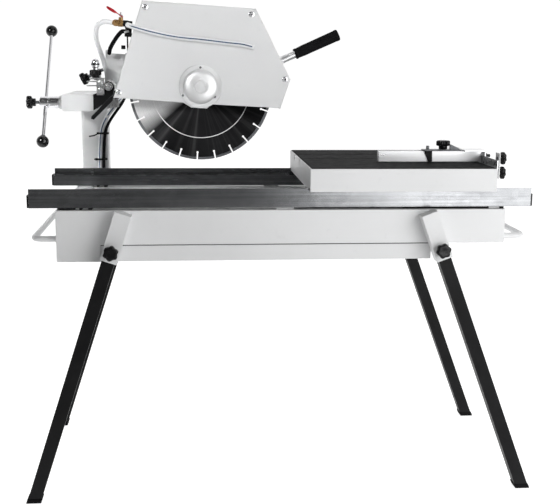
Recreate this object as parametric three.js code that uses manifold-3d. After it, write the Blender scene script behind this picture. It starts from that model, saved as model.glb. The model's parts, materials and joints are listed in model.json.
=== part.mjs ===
// Table saw for masonry and tile: a steel water-tank frame on four plug-in legs, two galvanised
// rails with a rolling table, and a saw head that plunges and tilts on an arm behind the rails.
// Millimetres, +Z up, +X along the rails, -Y towards the operator, floor at Z = 0.
// Design coordinates: X from the middle of the rails, Y from the upright blade's plane.
import * as THREE from 'three';
import { mergeVertices } from 'three/addons/utils/BufferGeometryUtils.js';
import Module from 'manifold-3d';

const wasm = await Module();
wasm.setup();

// ---- driving dimensions -------------------------------------------------------------------

const gap = 0.3;                       // play between pieces that touch
const footprintCentre = { x: -8.8, y: 12.2 };

const rail = { halfLength: 583.5, lipOuter: 217, lip: 2.5, tube: 30, bottom: 696.4, tubeTop: 724.4,
  lipTop: 740, wall: 2.5 };
const stopX = { left: -483, right: 573, halfLength: 4 };

const frame = { left: -523.6, right: 519.7, halfWidth: 229, bottom: 574, seam: 612, top: 691.7,
  sheet: 3, flange: 45, skirtEnd: -425 };
const tank = { stepX: 345, sheet: 3 };

const socket = { width: 39, depth: 36, length: 115, wall: 3.5, knobHeight: 25 };
const leg = { size: 30, wall: 2, play: 0.5, y: 246.5 };
const legEnds = {
  left: { x: -405.3, z: 579.3, lean: THREE.MathUtils.degToRad(18) },
  right: { x: 370.5, z: 579, lean: THREE.MathUtils.degToRad(-20.8) },
};

const table = { left: 55.7, right: 494, halfWidth: 235, bottom: 734.2, rim: 787, top: 788.3,
  sheet: 3, deckTop: 782.7, ledge: 8 };
const roller = { radius: 20, bore: 4.3, x: [85, 465], inner: 189, outer: 209 };
const slot = { end: 430, width: 8, matWidth: 6, floor: 770 };
const sideRail = { inner: 497.2, outer: 500.2, front: -219, back: 225, bottom: 772, top: 805.5 };
const guide = { outer: 503.2, front: -222, back: -192, bottom: 762, top: 822, knobY: -207,
  knobZ: [775, 809] };
const fence = { left: 240, front: -91, back: -73, bottom: 789, top: 815,
  groove: { front: -86, back: -78, depth: 6 },
  flange: { left: 450, front: -108, back: -62, bottom: 791, sheet: 3 },
  screw: { y: -100, z: 805, radius: 4, length: 14 } };
const stop = { left: 350, right: 446, front: -97, back: -68, sheet: 4,
  knob: { x: 402, y: -82 }, pin: { x: 364, y: -80, height: 13 },
  key: { left: 352, right: 440, front: -85, back: -79 } };
const studHole = 4.3;                                  // radius of the holes for the knobs' studs

const column = { left: -513, right: -441.5, front: 252, back: 312, bottom: 613, wall: 4 };
const beam = { left: -536, right: -457, front: 39, bottom: 901.5, top: 943.5, wall: 4 };
const tilt = { y: 60, z: 922, shaft: 12, slotAngle: Math.PI / 4 };
const pivot = { x: -418, z: 963, pin: 8, droop: THREE.MathUtils.degToRad(3.25) };
const clamp = { hubLeft: -590.8, hubRight: -543.3, radius: 15, barX: -577, lean: 40, bar: 4.5 };

const arborAt = { x: 226, z: 10, radius: 12.6 };       // in the head's own frame
const bladeSize = { radius: 175, thickness: 3, segments: 24, slotDepth: 18, slotWidth: 3.2 };
const guard = { front: -42.1, back: 42, sheet: 3,
  outline: [[77, 208], [348, 208], [442, 47], [422, -25], [17.4, -25]] };
const hubCover = { x: 225, z: 16, radius: 51.6 };

// ---- materials ------------------------------------------------------------------------------

function finish(color, roughness, metalness) {
  return new THREE.MeshStandardMaterial({ color, roughness, metalness });
}

const paint = finish(0xd9dadb, 0.45, 0.1);
const galvanised = finish(0x9a9da0, 0.35, 0.9);
const steel = finish(0xb4b6b8, 0.3, 1);
const darkSteel = finish(0x5c5f63, 0.45, 0.8);
const blackPaint = finish(0x1b1b1c, 0.5, 0.2);
const rubber = finish(0x202021, 0.85, 0);
const plastic = finish(0x121213, 0.45, 0);
const brass = finish(0xb08a45, 0.35, 1);
const redPaint = finish(0xa01018, 0.4, 0.1);
const clearHose = finish(0xdfe9f2, 0.2, 0);
const aluminium = finish(0xe2e3e4, 0.35, 0.7);

// ---- shape helpers --------------------------------------------------------------------------

function toSolid(geometry) {
  const bare = geometry.clone();
  bare.deleteAttribute('normal');
  bare.deleteAttribute('uv');
  const merged = mergeVertices(bare, 1e-4);
  return new wasm.Manifold(new wasm.Mesh({
    numProp: 3,
    vertProperties: new Float32Array(merged.attributes.position.array),
    triVerts: new Uint32Array(merged.index.array),
  }));
}

function toGeometry(solid) {
  const { vertProperties, triVerts } = solid.getMesh();
  const geometry = new THREE.BufferGeometry();
  geometry.setAttribute('position', new THREE.BufferAttribute(vertProperties, 3));
  geometry.setIndex(new THREE.BufferAttribute(triVerts, 1));
  geometry.computeVertexNormals();
  return geometry;
}

function join(...pieces) {
  return toGeometry(pieces.map(toSolid).reduce((whole, piece) => whole.add(piece)));
}

function cut(base, ...tools) {
  return toGeometry(tools.map(toSolid).reduce((whole, tool) => whole.subtract(tool), toSolid(base)));
}

function block(x0, x1, y0, y1, z0, z1) {
  const box = new THREE.BoxGeometry(x1 - x0, y1 - y0, z1 - z0);
  return box.translate((x0 + x1) / 2, (y0 + y1) / 2, (z0 + z1) / 2);
}

// A round bar along one axis; centre holds its other two coordinates in X, Y, Z order.
function rod(axis, radius, from, to, [a, b], sides = 16) {
  const bar = new THREE.CylinderGeometry(radius, radius, to - from, sides);
  const middle = (from + to) / 2;
  if (axis === 'x') {
    return bar.rotateZ(-Math.PI / 2).translate(middle, a, b);
  }
  if (axis === 'z') {
    return bar.rotateX(Math.PI / 2).translate(a, b, middle);
  }
  return bar.translate(a, middle, b);
}

function shapeOf(points) {
  const corners = points.map(([a, b]) => new THREE.Vector2(a, b));
  return new THREE.Shape(THREE.ShapeUtils.isClockWise(corners) ? corners.reverse() : corners);
}

function roundedRectangle(x0, x1, z0, z1, radius, arcSteps = 3) {
  const corners = [[x1, z0, -90], [x1, z1, 0], [x0, z1, 90], [x0, z0, 180]];
  const points = [];
  for (const [x, z, start] of corners) {
    const cx = x - Math.sign(x - (x0 + x1) / 2) * radius;
    const cz = z - Math.sign(z - (z0 + z1) / 2) * radius;
    for (let i = 0; i <= arcSteps; i += 1) {
      const angle = THREE.MathUtils.degToRad(start + 90 * i / arcSteps);
      points.push([cx + radius * Math.cos(angle), cz + radius * Math.sin(angle)]);
    }
  }
  return points;
}

// An outline in X and Z, thick along Y.
function plate(outline, y0, y1) {
  const geometry = new THREE.ExtrudeGeometry(shapeOf(outline), { depth: y1 - y0, bevelEnabled: false });
  return geometry.rotateX(Math.PI / 2).translate(0, y1, 0);
}

// An outline in X and Y, thick along Z.
function slab(outline, z0, z1) {
  const geometry = new THREE.ExtrudeGeometry(shapeOf(outline), { depth: z1 - z0, bevelEnabled: false });
  return geometry.translate(0, 0, z0);
}

// An outline in Y and Z with an optional hole, run along X.
function profile(outline, x0, x1, hole) {
  const shape = shapeOf(outline);
  if (hole) {
    shape.holes.push(shapeOf(hole));
  }
  const geometry = new THREE.ExtrudeGeometry(shape, { depth: x1 - x0, bevelEnabled: false });
  const turn = new THREE.Matrix4().makeBasis(
    new THREE.Vector3(0, 1, 0), new THREE.Vector3(0, 0, 1), new THREE.Vector3(1, 0, 0));
  return geometry.applyMatrix4(turn).translate(x0, 0, 0);
}

function ring(radius, sides) {
  const points = [];
  for (let i = 0; i < sides; i += 1) {
    const angle = 2 * Math.PI * i / sides;
    points.push([radius * Math.cos(angle), radius * Math.sin(angle)]);
  }
  return points;
}

// A solid of revolution about Y; the profile of [radius, y] pairs starts and ends on the axis.
function turned(points, sides = 32) {
  return facingOut(new THREE.LatheGeometry(points.map(([r, y]) => new THREE.Vector2(r, y)), sides));
}

function signedVolume(geometry) {
  const { position } = geometry.attributes;
  const index = geometry.index ? geometry.index.array : [...Array(position.count).keys()];
  const [a, b, c] = [new THREE.Vector3(), new THREE.Vector3(), new THREE.Vector3()];
  let total = 0;
  for (let i = 0; i < index.length; i += 3) {
    a.fromBufferAttribute(position, index[i]);
    b.fromBufferAttribute(position, index[i + 1]);
    c.fromBufferAttribute(position, index[i + 2]);
    total += a.dot(b.cross(c)) / 6;
  }
  return total;
}

function facingOut(geometry) {
  if (signedVolume(geometry) > 0) {
    return geometry;
  }
  const count = geometry.attributes.position.count;
  const index = geometry.index ? [...geometry.index.array] : [...Array(count).keys()];
  for (let i = 0; i < index.length; i += 3) {
    [index[i + 1], index[i + 2]] = [index[i + 2], index[i + 1]];
  }
  geometry.setIndex(index);
  return geometry;
}

// A round tube or hose through a list of points.
function hose(points, radius, steps, sides = 8) {
  const path = new THREE.CatmullRomCurve3(points.map((point) => new THREE.Vector3(...point)));
  return facingOut(new THREE.ExtrudeGeometry(shapeOf(ring(radius, sides)),
    { steps, bevelEnabled: false, extrudePath: path }));
}

// A star knob: stud below Z = 0, then the hub, then the lobed head.
function starKnob({ radius, head, hub, stud, lobes = 6 }) {
  const outline = [];
  for (let i = 0; i < lobes * 3; i += 1) {
    const angle = 2 * Math.PI * i / (lobes * 3);
    const reach = i % 3 === 0 ? radius * 0.82 : radius;
    outline.push([reach * Math.cos(angle), reach * Math.sin(angle)]);
  }
  return join(
    slab(outline, hub, hub + head),
    rod('z', radius * 0.52, 0, hub + 1, [0, 0], 12),
    rod('z', 4, -stud, 1, [0, 0], 12),
  );
}

// ---- scene graph ----------------------------------------------------------------------------

const saw = new THREE.Group();
saw.position.set(-footprintCentre.x, -footprintCentre.y, 0);

function addTo(group, name, geometry, material) {
  const mesh = new THREE.Mesh(geometry, material);
  mesh.name = name;
  group.add(mesh);
  return mesh;
}

// A knob whose axis points along the given direction.
function addKnob(group, name, size, position, direction) {
  const mesh = addTo(group, name, starKnob(size), plastic);
  mesh.position.set(...position);
  mesh.quaternion.setFromUnitVectors(new THREE.Vector3(0, 0, 1), direction.clone().normalize());
  return mesh;
}

const alongX = new THREE.Vector3(1, 0, 0);
const alongZ = new THREE.Vector3(0, 0, 1);

// ---- water-tank frame, tank and rails -------------------------------------------------------

const wallHole = { x: -465, z: 664, radius: 9 };

function tankFrame() {
  const { left, right, halfWidth, bottom, seam, top, sheet, flange, skirtEnd } = frame;
  const shell = cut(
    block(left, right, -halfWidth, halfWidth, seam, top),
    block(left + sheet, right - sheet, -halfWidth + sheet, halfWidth - sheet, seam - 1, top - sheet),
    block(left + flange, right - flange, -halfWidth + flange, halfWidth - flange, seam, top + 1),
  );
  const pieces = [shell, block(left, left + sheet, -halfWidth, halfWidth, bottom, seam + 1)];
  for (const side of [-1, 1]) {
    const [near, far] = [side * halfWidth, side * (halfWidth - sheet)].sort((a, b) => a - b);
    pieces.push(block(left, skirtEnd, near, far, bottom, seam + 1));
    const [inner, outer] = [side * 188, side * 212].sort((a, b) => a - b);
    for (const x of [-500, 0, 495]) {
      pieces.push(block(x - 20, x + 20, inner, outer, top - 0.5, rail.bottom - gap));
    }
  }
  return cut(join(...pieces), rod('y', wallHole.radius, 220, 235, [wallHole.x, wallHole.z], 12));
}

function waterTank() {
  const { left, right, halfWidth, bottom, seam, top, sheet } = frame;
  const wall = tank.sheet;
  const [x0, x1] = [left + sheet + gap, right - sheet - gap];
  const y = halfWidth - sheet - 0.4;
  const rim = top - sheet - gap;
  const outer = [[x0, rim], [x0, bottom], [tank.stepX, bottom], [tank.stepX, seam], [x1, seam], [x1, rim]];
  const inner = [[x0 + wall, rim + 5], [x0 + wall, bottom + wall], [tank.stepX - wall, bottom + wall],
    [tank.stepX - wall, seam + wall], [x1 - wall, seam + wall], [x1 - wall, rim + 5]];
  return cut(plate(outer, -y, y), plate(inner, -y + wall, y - wall),
    rod('y', wallHole.radius, 215, 232, [wallHole.x, wallHole.z], 12));
}

function railBar(side) {
  const { halfLength, lipOuter, lip, tube, bottom, tubeTop, lipTop, wall } = rail;
  const tubeOuter = lipOuter - lip;
  const tubeInner = tubeOuter - tube;
  const outline = [[lipOuter, bottom], [lipOuter, lipTop], [tubeOuter, lipTop], [tubeOuter, tubeTop],
    [tubeInner, tubeTop], [tubeInner, bottom]].map(([y, z]) => [side * y, z]);
  const hole = [[tubeOuter - wall, bottom + wall], [tubeOuter - wall, tubeTop - wall],
    [tubeInner + wall, tubeTop - wall], [tubeInner + wall, bottom + wall]].map(([y, z]) => [side * y, z]);
  const [near, far] = [side * 200, side * tubeOuter].sort((a, b) => a - b);
  const stops = [stopX.left, stopX.right].map((x) => block(
    x - stopX.halfLength, x + stopX.halfLength, near, far, tubeTop - 1, tubeTop + 13));
  return join(profile(outline, -halfLength, halfLength, hole), ...stops);
}

function carryHandle(side) {
  const root = side < 0 ? frame.left - gap : frame.right + gap;
  const [reach, halfSpan, bend, z] = [root + side * 53, 205, 22, 624];
  const points = [[root, -halfSpan, z], [reach - side * bend, -halfSpan, z]];
  for (const turn of [22.5, 45, 67.5]) {
    const angle = THREE.MathUtils.degToRad(turn);
    points.push([reach - side * bend * (1 - Math.sin(angle)), -halfSpan + bend * (1 - Math.cos(angle)), z]);
  }
  points.push([reach, -halfSpan + bend, z]);
  const far = points.map(([x, y, height]) => [x, -y, height]).reverse();
  return hose([...points, [reach, 0, z], ...far], 7, 28);
}

addTo(saw, 'tank_frame', tankFrame(), paint);
addTo(saw, 'water_tank', waterTank(), paint);
addTo(saw, 'front_rail', railBar(-1), galvanised);
addTo(saw, 'rear_rail', railBar(1), galvanised);
addTo(saw, 'carry_handle_left', carryHandle(-1), paint);
addTo(saw, 'carry_handle_right', carryHandle(1), paint);

// ---- legs, their sockets and clamping knobs -------------------------------------------------

// The socket's open side faces the frame; its origin is the middle of its lower end.
function legSocket(side) {
  const { width, depth, length, wall, knobHeight } = socket;
  const near = frame.halfWidth + gap - leg.y;
  const outer = near + depth;
  const [y0, y1] = [side * near, side * outer].sort((a, b) => a - b);
  const [c0, c1] = [side * (near - 5), side * (outer - wall)].sort((a, b) => a - b);
  const inside = leg.size / 2 + leg.play;
  return cut(
    block(-width / 2, width / 2, y0, y1, 0, length),
    block(-inside, inside, c0, c1, -1, length - 4),
    rod('y', 4.3, Math.min(side * outer, side * 10) - 1, Math.max(side * outer, side * 10) + 1,
      [0, knobHeight], 12),
  );
}

// The leg is cut level where it meets the floor; lean is its angle in the X-Z plane.
function legTube({ z, lean }) {
  const top = socket.length - 4 - gap;
  const reach = z / Math.cos(lean) + leg.size;
  const half = leg.size / 2;
  const inner = half - leg.wall;
  const tube = cut(block(-half, half, -half, half, -reach, top),
    block(-inner, inner, -inner, inner, -reach + leg.size * 2, top + 1));
  const floor = block(-500, 500, -50, 50, -z - 300, -z).rotateY(-lean);
  return cut(tube, floor);
}

for (const [end, place] of Object.entries(legEnds)) {
  for (const [row, side] of [['front', -1], ['rear', 1]]) {
    const corner = new THREE.Group();
    corner.position.set(place.x, side * leg.y, place.z);
    corner.rotation.y = place.lean;
    saw.add(corner);
    addTo(corner, `leg_socket_${row}_${end}`, legSocket(side), paint);
    addTo(corner, `leg_${row}_${end}`, legTube(place), blackPaint);
    const outer = frame.halfWidth + gap + socket.depth - leg.y;
    addKnob(corner, `leg_knob_${row}_${end}`, { radius: 16.5, head: 13, hub: 9, stud: 3.2 },
      [0, side * (outer + gap), socket.knobHeight], new THREE.Vector3(0, side, 0));
  }
}

// ---- column, arm beam and water supply ------------------------------------------------------

function columnTube() {
  const { left, right, front, back, bottom, wall } = column;
  const outer = slab(roundedRectangle(left, right, front, back, 7), bottom, beam.bottom - gap);
  const foot = block(left + 2, right - 2, frame.halfWidth + gap, front + 10, bottom, bottom + 35);
  const hollow = block(left + wall, right - wall, front + wall, back - wall, bottom - 1, beam.bottom - 6);
  return cut(join(outer, foot), hollow);
}

function armBeam() {
  const { left, right, front, bottom, top, wall } = beam;
  return cut(
    plate(roundedRectangle(left, right, bottom, top, 6), front, column.back),
    block(left + wall, right - wall, front + wall, column.back + 1, bottom + wall, top - wall),
    rod('x', tilt.shaft + gap, left - 1, right + 1, [tilt.y, tilt.z]),
  );
}

const box = { x: -464, y: 240.5, bottom: 652, top: 684 };

function waterPump() {
  const [x, y, floor] = [wallHole.x, 145, frame.bottom + tank.sheet + gap];
  return join(
    rod('z', 32, floor, 650, [x, y], 20),
    rod('z', 22, 649, 679, [x, y], 20),
    rod('y', 6, y, frame.halfWidth, [x, wallHole.z], 10),
  );
}

addTo(saw, 'column', columnTube(), paint);
addTo(saw, 'arm_beam', armBeam(), paint);
addTo(saw, 'water_pump', waterPump(), plastic);
addTo(saw, 'junction_box',
  block(box.x - 17, box.x + 17, frame.halfWidth + gap, column.front - gap, box.bottom, box.top), plastic);
addTo(saw, 'column_hose', hose([[-467, 244, box.top + gap], [-466, 244, 740], [-464, 244, 790],
  [-460, 244, 832], [-453, 243, 857], [-442, 241, 878]], 6, 12), clearHose);
addTo(saw, 'column_cable', hose([[-455.5, 244, box.top + gap], [-455, 244, 740], [-453, 244, 790],
  [-448, 243, 836], [-440, 240, 857], [-430, 236, 874]], 4.5, 12), rubber);

// ---- tilting bracket, its shaft and the bevel clamp -----------------------------------------

function tiltBracket() {
  const ear = [[-456.6, 904], [-440, 914.5], [-410, 934], [-404.6, 958], [-407, 968], [-412, 973.5],
    [-419, 975.5], [-426, 972], [-430.5, 964], [-436, 953], [-446, 947], [-456.6, 943.5]];
  const arm = [[-455.7, 882], [-409, 928], [-405.5, 940], [-412, 940], [-461.5, 890], [-462.5, 884]];
  return cut(
    join(plate(ear, 26, 38), plate(ear, 108, 120), block(-456.6, -440, 37, 109, 915, 943.5),
      plate(arm, 17, 26.5)),
    rod('x', tilt.shaft + gap, -460, -430, [tilt.y, tilt.z]),
    rod('y', pivot.pin + gap, 10, 130, [pivot.x, pivot.z]),
  );
}

const clevis = { right: -429, front: 19, back: 25.7, foot: 942, shelf: 980, shelfTop: 984,
  yoke: { left: -471, right: -446, back: 34, heights: [963.3, 973.5], sheet: 2.9 },
  nut: { left: -458, right: -440, front: 46, back: 67, top: 1006 } };
const lockScrew = { x: -449.5, y: 28 };
const depthScrew = {
  origin: new THREE.Vector3(-469.4, 58, 986.5),
  direction: new THREE.Vector3(1, 0, 0).applyAxisAngle(new THREE.Vector3(0, 1, 0), -Math.PI * 25.6 / 180),
};

// The stop's mount in front of the bracket's ear: an upright, a top shelf, a yoke and the screw's nut.
function stopClevis() {
  const { right, front, back, foot, shelf, shelfTop, yoke, nut } = clevis;
  const yokeBars = yoke.heights.map((z) => block(yoke.left, yoke.right, front, yoke.back, z, z + yoke.sheet));
  return cut(
    join(block(right - 18, right, front, back, foot, shelf + 2),
      block(-463, right, front, 40, shelf, shelfTop),
      ...yokeBars, block(-462, nut.right, 39, 50, shelf, shelfTop),
      block(nut.left, nut.right, nut.front, nut.back, shelf, nut.top)),
    rod('z', studHole, shelf - 5, shelfTop + 6, [lockScrew.x, lockScrew.y], 12),
    placedRod(depthScrew.origin, depthScrew.direction, studHole, -60, 60),
  );
}

// A bar through a point along any direction, from one distance to another.
function placedRod(origin, direction, radius, from, to, sides = 12) {
  const bar = rod('z', radius, from, to, [0, 0], sides);
  bar.applyQuaternion(new THREE.Quaternion().setFromUnitVectors(alongZ, direction));
  return bar.translate(origin.x, origin.y, origin.z);
}

addTo(saw, 'tilt_bracket', tiltBracket(), blackPaint);
addTo(saw, 'tilt_shaft', join(
  rod('x', tilt.shaft, clamp.hubRight + gap, -440, [tilt.y, tilt.z]),
  rod('x', 16.5, clamp.hubRight + gap, beam.left - gap, [tilt.y, tilt.z])), steel);
addTo(saw, 'pivot_pin', join(
  rod('y', pivot.pin, 20, 128, [pivot.x, pivot.z]),
  rod('y', 10, 17, 25.7, [pivot.x, pivot.z]),
  rod('y', 12, 120.3, 130, [pivot.x, pivot.z], 6)), steel);
addTo(saw, 'stop_clevis', stopClevis(), steel);
addKnob(saw, 'depth_screw', { radius: 16.5, head: 12, hub: 8, stud: 40 },
  depthScrew.origin.toArray(), depthScrew.direction.clone().negate());

const lockKnob = addKnob(saw, 'lock_knob', { radius: 14.5, head: 13, hub: 6, stud: 6 },
  [lockScrew.x, lockScrew.y, clevis.shelfTop + gap], alongZ);
lockKnob.geometry = join(lockKnob.geometry, rod('z', 10, 18, 36, [0, 0], 12),
  new THREE.SphereGeometry(10, 12, 6).translate(0, 0, 36));

const barLean = THREE.MathUtils.degToRad(clamp.lean);
const barDirection = new THREE.Vector3(0, Math.sin(barLean), Math.cos(barLean));
const barOrigin = new THREE.Vector3(clamp.barX, tilt.y, tilt.z);

function clampHub() {
  return cut(
    rod('x', clamp.radius, clamp.hubLeft, clamp.hubRight, [tilt.y, tilt.z]),
    placedRod(barOrigin, barDirection, clamp.bar + gap, -30, 30),
    rod('x', studHole, clamp.hubLeft - 1, clamp.barX, [tilt.y, tilt.z], 12),
  );
}

function tBar() {
  const [lower, upper, ball] = [-119, 232, 15];
  const balls = [lower, upper].map((distance) => {
    const centre = barOrigin.clone().addScaledVector(barDirection, distance);
    return new THREE.SphereGeometry(ball, 12, 7).translate(centre.x, centre.y, centre.z);
  });
  return join(placedRod(barOrigin, barDirection, clamp.bar, lower, upper), ...balls);
}

addTo(saw, 'clamp_hub', clampHub(), steel);
addTo(saw, 't_bar', tBar(), steel);
addKnob(saw, 'clamp_knob', { radius: 16.5, head: 13, hub: 9, stud: 20 },
  [-602, tilt.y, tilt.z], alongX.clone().negate());

// ---- saw head, drawn level in its own frame with the plunge pivot at its origin --------------

const head = new THREE.Group();
head.position.set(pivot.x, 0, pivot.z);
head.rotation.y = pivot.droop;
saw.add(head);

function headArm() {
  const backPlate = plate([[36, 84], [330, 84], [330, -22], [150, -22], [36, 0]], 42.4, 50.4);
  return cut(
    join(rod('y', 15, 40, 106, [0, 0]), block(-11, 70, 70, 104, 5, 81), block(36, 70, 50, 72, 5, 81),
      block(-11, 10, 70, 104, -5, 20), backPlate),
    rod('y', pivot.pin + gap, 30, 120, [0, 0]),
    rod('y', 30, 30, 60, [arborAt.x, arborAt.z]),
  );
}

// The outline moved inwards by a distance, with its lowest edge pushed out to leave a mouth.
function guardInside(distance, mouth) {
  const points = guard.outline;
  const lines = points.map(([x, z], i) => {
    const [nx, nz] = points[(i + 1) % points.length];
    const length = Math.hypot(nx - x, nz - z);
    const [dx, dz] = [(nx - x) / length, (nz - z) / length];
    const inset = i === 3 ? -mouth : distance;
    return { x: x + dz * inset, z: z - dx * inset, dx, dz };
  });
  return lines.map((line, i) => {
    const last = lines[(i + lines.length - 1) % lines.length];
    const cross = last.dx * line.dz - last.dz * line.dx;
    const t = ((line.x - last.x) * line.dz - (line.z - last.z) * line.dx) / cross;
    return [last.x + last.dx * t, last.z + last.dz * t];
  });
}

function guardBack() {
  return cut(
    plate(guard.outline, guard.front, guard.back),
    plate(guardInside(guard.sheet, 10), guard.front - 1, guard.back - guard.sheet),
    rod('y', 30, 30, 60, [arborAt.x, arborAt.z]),
  );
}

function guardCover() {
  const tab = [[253, -25], [243, -36], [205, -36], [185, -25]];
  return cut(
    plate([...guard.outline.slice(0, 4), ...tab, guard.outline[4]], guard.front - 3, guard.front - gap),
    rod('y', 38, guard.front - 5, guard.front + 5, [hubCover.x, hubCover.z]),
  );
}

function hubCoverShell() {
  const shell = [[0, 16], [15.5, 16], [30, 13], [40, 8], [42, 3], [hubCover.radius, 3],
    [hubCover.radius, 0], [39.5, 0], [37.5, 6], [29, 10.5], [0, 12.5]];
  return turned(shell, 24).rotateX(Math.PI).translate(hubCover.x, guard.front - 3 - gap, hubCover.z);
}

function motorBody() {
  const { x, z } = arborAt;
  const fins = [];
  for (let i = 0; i < 6; i += 1) {
    const fin = block(-2, 2, 75, 215, 60, 76).rotateY(Math.PI * (2 * i + 3) / 8);
    fins.push(fin.translate(x, 0, z));
  }
  return cut(
    join(rod('y', 74, 50.7, 70, [x, z], 20), rod('y', 66, 69, 226, [x, z], 20),
      rod('y', 74, 225, 280, [x, z], 20), block(x - 38, x + 38, 95, 185, z + 55, z + 98), ...fins),
    rod('y', arborAt.radius + gap, 40, 64, [x, z]),
  );
}

const handle = { x: 415.5, z: 88.6, angle: THREE.MathUtils.degToRad(27.5), tube: 42, grip: 118 };
const handleDirection = new THREE.Vector3(Math.cos(handle.angle), 0, Math.sin(handle.angle));
const handleRoot = new THREE.Vector3(handle.x, 0, handle.z);

function gripBody() {
  const rim = [[0, 0], [13.5, 0], [13.5, 5], [12, 8], [13.8, 40], [12.5, 80], [13.8, 108], [12, 117],
    [0, 118]];
  const grip = turned(rim, 20).rotateX(Math.PI / 2);
  grip.applyQuaternion(new THREE.Quaternion().setFromUnitVectors(alongZ, handleDirection));
  const foot = handleRoot.clone().addScaledVector(handleDirection, handle.tube + gap);
  return grip.translate(foot.x, foot.y, foot.z);
}

function handleTube() {
  const foot = rod('z', 16, 0, 6, [0, 0], 20);
  const turnTo = new THREE.Quaternion().setFromUnitVectors(alongZ, handleDirection);
  foot.applyQuaternion(turnTo).translate(handleRoot.x, handleRoot.y, handleRoot.z);
  const tube = placedRod(handleRoot, handleDirection, 9.5, 0, handle.tube, 20);
  const insideGuard = plate(guard.outline.map(([x, z]) => [x + gap, z]), -60, 60);
  return cut(join(foot, tube), insideGuard);
}

function waterValve() {
  return join(
    rod('x', 7, 10, 22, [-14, 153], 12),
    rod('x', 9, 18, 32, [-14, 153], 6),
    rod('z', 4, 153, 166, [27, -14], 10),
    block(32, 50, -23, -5, 126, 160),
    rod('y', 6, -36, -14, [46, 149], 10),
    block(44, 58.3, -19, -9, 140, 154),
  );
}

function valveLever() {
  const lever = block(-40, 4, -5.5, 5.5, 0, 4).rotateY(0.42);
  return join(lever, rod('z', 6, -1, 4, [0, 0], 10)).translate(27, -14, 168.5);
}

addTo(head, 'head_arm', headArm(), paint);
addTo(head, 'guard_back', guardBack(), paint);
addTo(head, 'guard_cover', guardCover(), paint);
addTo(head, 'hub_cover', hubCoverShell(), paint);
addTo(head, 'motor', motorBody(), darkSteel);
addTo(head, 'handle_tube', handleTube(), steel);
addTo(head, 'handle_grip', gripBody(), rubber);
addTo(head, 'water_valve', waterValve(), brass);
addTo(head, 'valve_lever', valveLever(), redPaint);
addTo(head, 'spray_hose', hose([[46, -38.3, 149], [46.5, -44, 149], [61, -52, 145], [99, -52, 137.3],
  [135, -52, 131.7], [170, -52, 128.3], [218, -52, 126.9], [290, -52, 123.4], [321, -52, 122.1],
  [348, -52, 117]], 6, 20), clearHose);
addTo(head, 'feed_hose', hose([[7.5, -14, 153], [-1, -13, 154.5], [-14, -9, 154], [-28, 2, 146],
  [-34, 20, 127], [-33, 40, 106], [-27, 60, 85], [-21, 82, 66], [-18, 108, 48], [-14, 132, 26],
  [-6, 148, -2], [6, 154, -30]], 6, 24), clearHose);

// ---- arbor, blade and flanges ---------------------------------------------------------------

function bladeDisc() {
  const { radius, thickness, segments, slotDepth, slotWidth } = bladeSize;
  const outline = [];
  const half = slotWidth / 2 / radius;
  for (let i = 0; i < segments; i += 1) {
    const middle = 2 * Math.PI * i / segments - Math.PI / 2;
    const root = slotWidth / 2 / (radius - slotDepth);
    outline.push([middle - half, radius], [middle - root, radius - slotDepth],
      [middle + root, radius - slotDepth], [middle + half, radius], [middle + Math.PI / segments, radius]);
  }
  const points = outline.map(([angle, r]) => [r * Math.cos(angle), r * Math.sin(angle)]);
  return cut(plate(points, -thickness / 2, thickness / 2), rod('y', arborAt.radius + gap, -9, 9, [0, 0]));
}

const spindle = new THREE.Group();
spindle.position.set(arborAt.x, 0, arborAt.z);
head.add(spindle);
addTo(spindle, 'arbor', join(
  rod('y', arborAt.radius, -24, 62, [0, 0]),
  rod('y', 45, 1.8, 11, [0, 0], 24)), steel);
addTo(spindle, 'blade', bladeDisc(), steel);
addTo(spindle, 'blade_flange', cut(
  join(rod('y', 45, -10, -1.8, [0, 0], 24), rod('y', 20, -22, -9, [0, 0], 6)),
  rod('y', arborAt.radius + gap, -30, 5, [0, 0])), steel);

// ---- rolling table --------------------------------------------------------------------------

// The cutter for the two blade slots: one upright, one leaning to meet the tilted blade.
function slotCutter(width, from) {
  const lowest = { y: arborDrop.y, z: arborDrop.z };
  const leaning = block(from, slot.end, -width / 2, width / 2, -16, 16).rotateX(tilt.slotAngle);
  return [
    block(from, slot.end, -width / 2, width / 2, slot.floor, 800),
    leaning.translate(0, lowest.y, lowest.z),
  ];
}

// Where the blade's lowest point lies once the head has tilted to the slot angle.
const arborDrop = (() => {
  const arborZ = pivot.z - arborAt.x * Math.sin(pivot.droop) + arborAt.z * Math.cos(pivot.droop);
  const [dy, dz] = [-tilt.y, arborZ - bladeSize.radius - tilt.z];
  const [c, s] = [Math.cos(tilt.slotAngle), Math.sin(tilt.slotAngle)];
  return { y: tilt.y + dy * c - dz * s, z: tilt.z + dy * s + dz * c };
})();

function tableFrame() {
  const { left, right, halfWidth, bottom, rim, sheet, ledge, deckTop } = table;
  const seat = deckTop - sheet - gap;
  const lipNotches = [-1, 1].map((side) => {
    const [near, far] = [side * (rail.lipOuter - 6), side * (rail.lipOuter + 4)].sort((a, b) => a - b);
    return block(left - 1, right + 1, near, far, bottom - 1, rail.lipTop + 3);
  });
  return cut(
    block(left, right, -halfWidth, halfWidth, bottom, rim),
    block(left + sheet, right - sheet, -halfWidth + sheet, halfWidth - sheet, seat, rim + 1),
    block(left + ledge, right - ledge, -halfWidth + ledge, halfWidth - ledge, bottom - 1, rim),
    ...slotCutter(slot.width, left - 1),
    ...lipNotches,
  );
}

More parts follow.
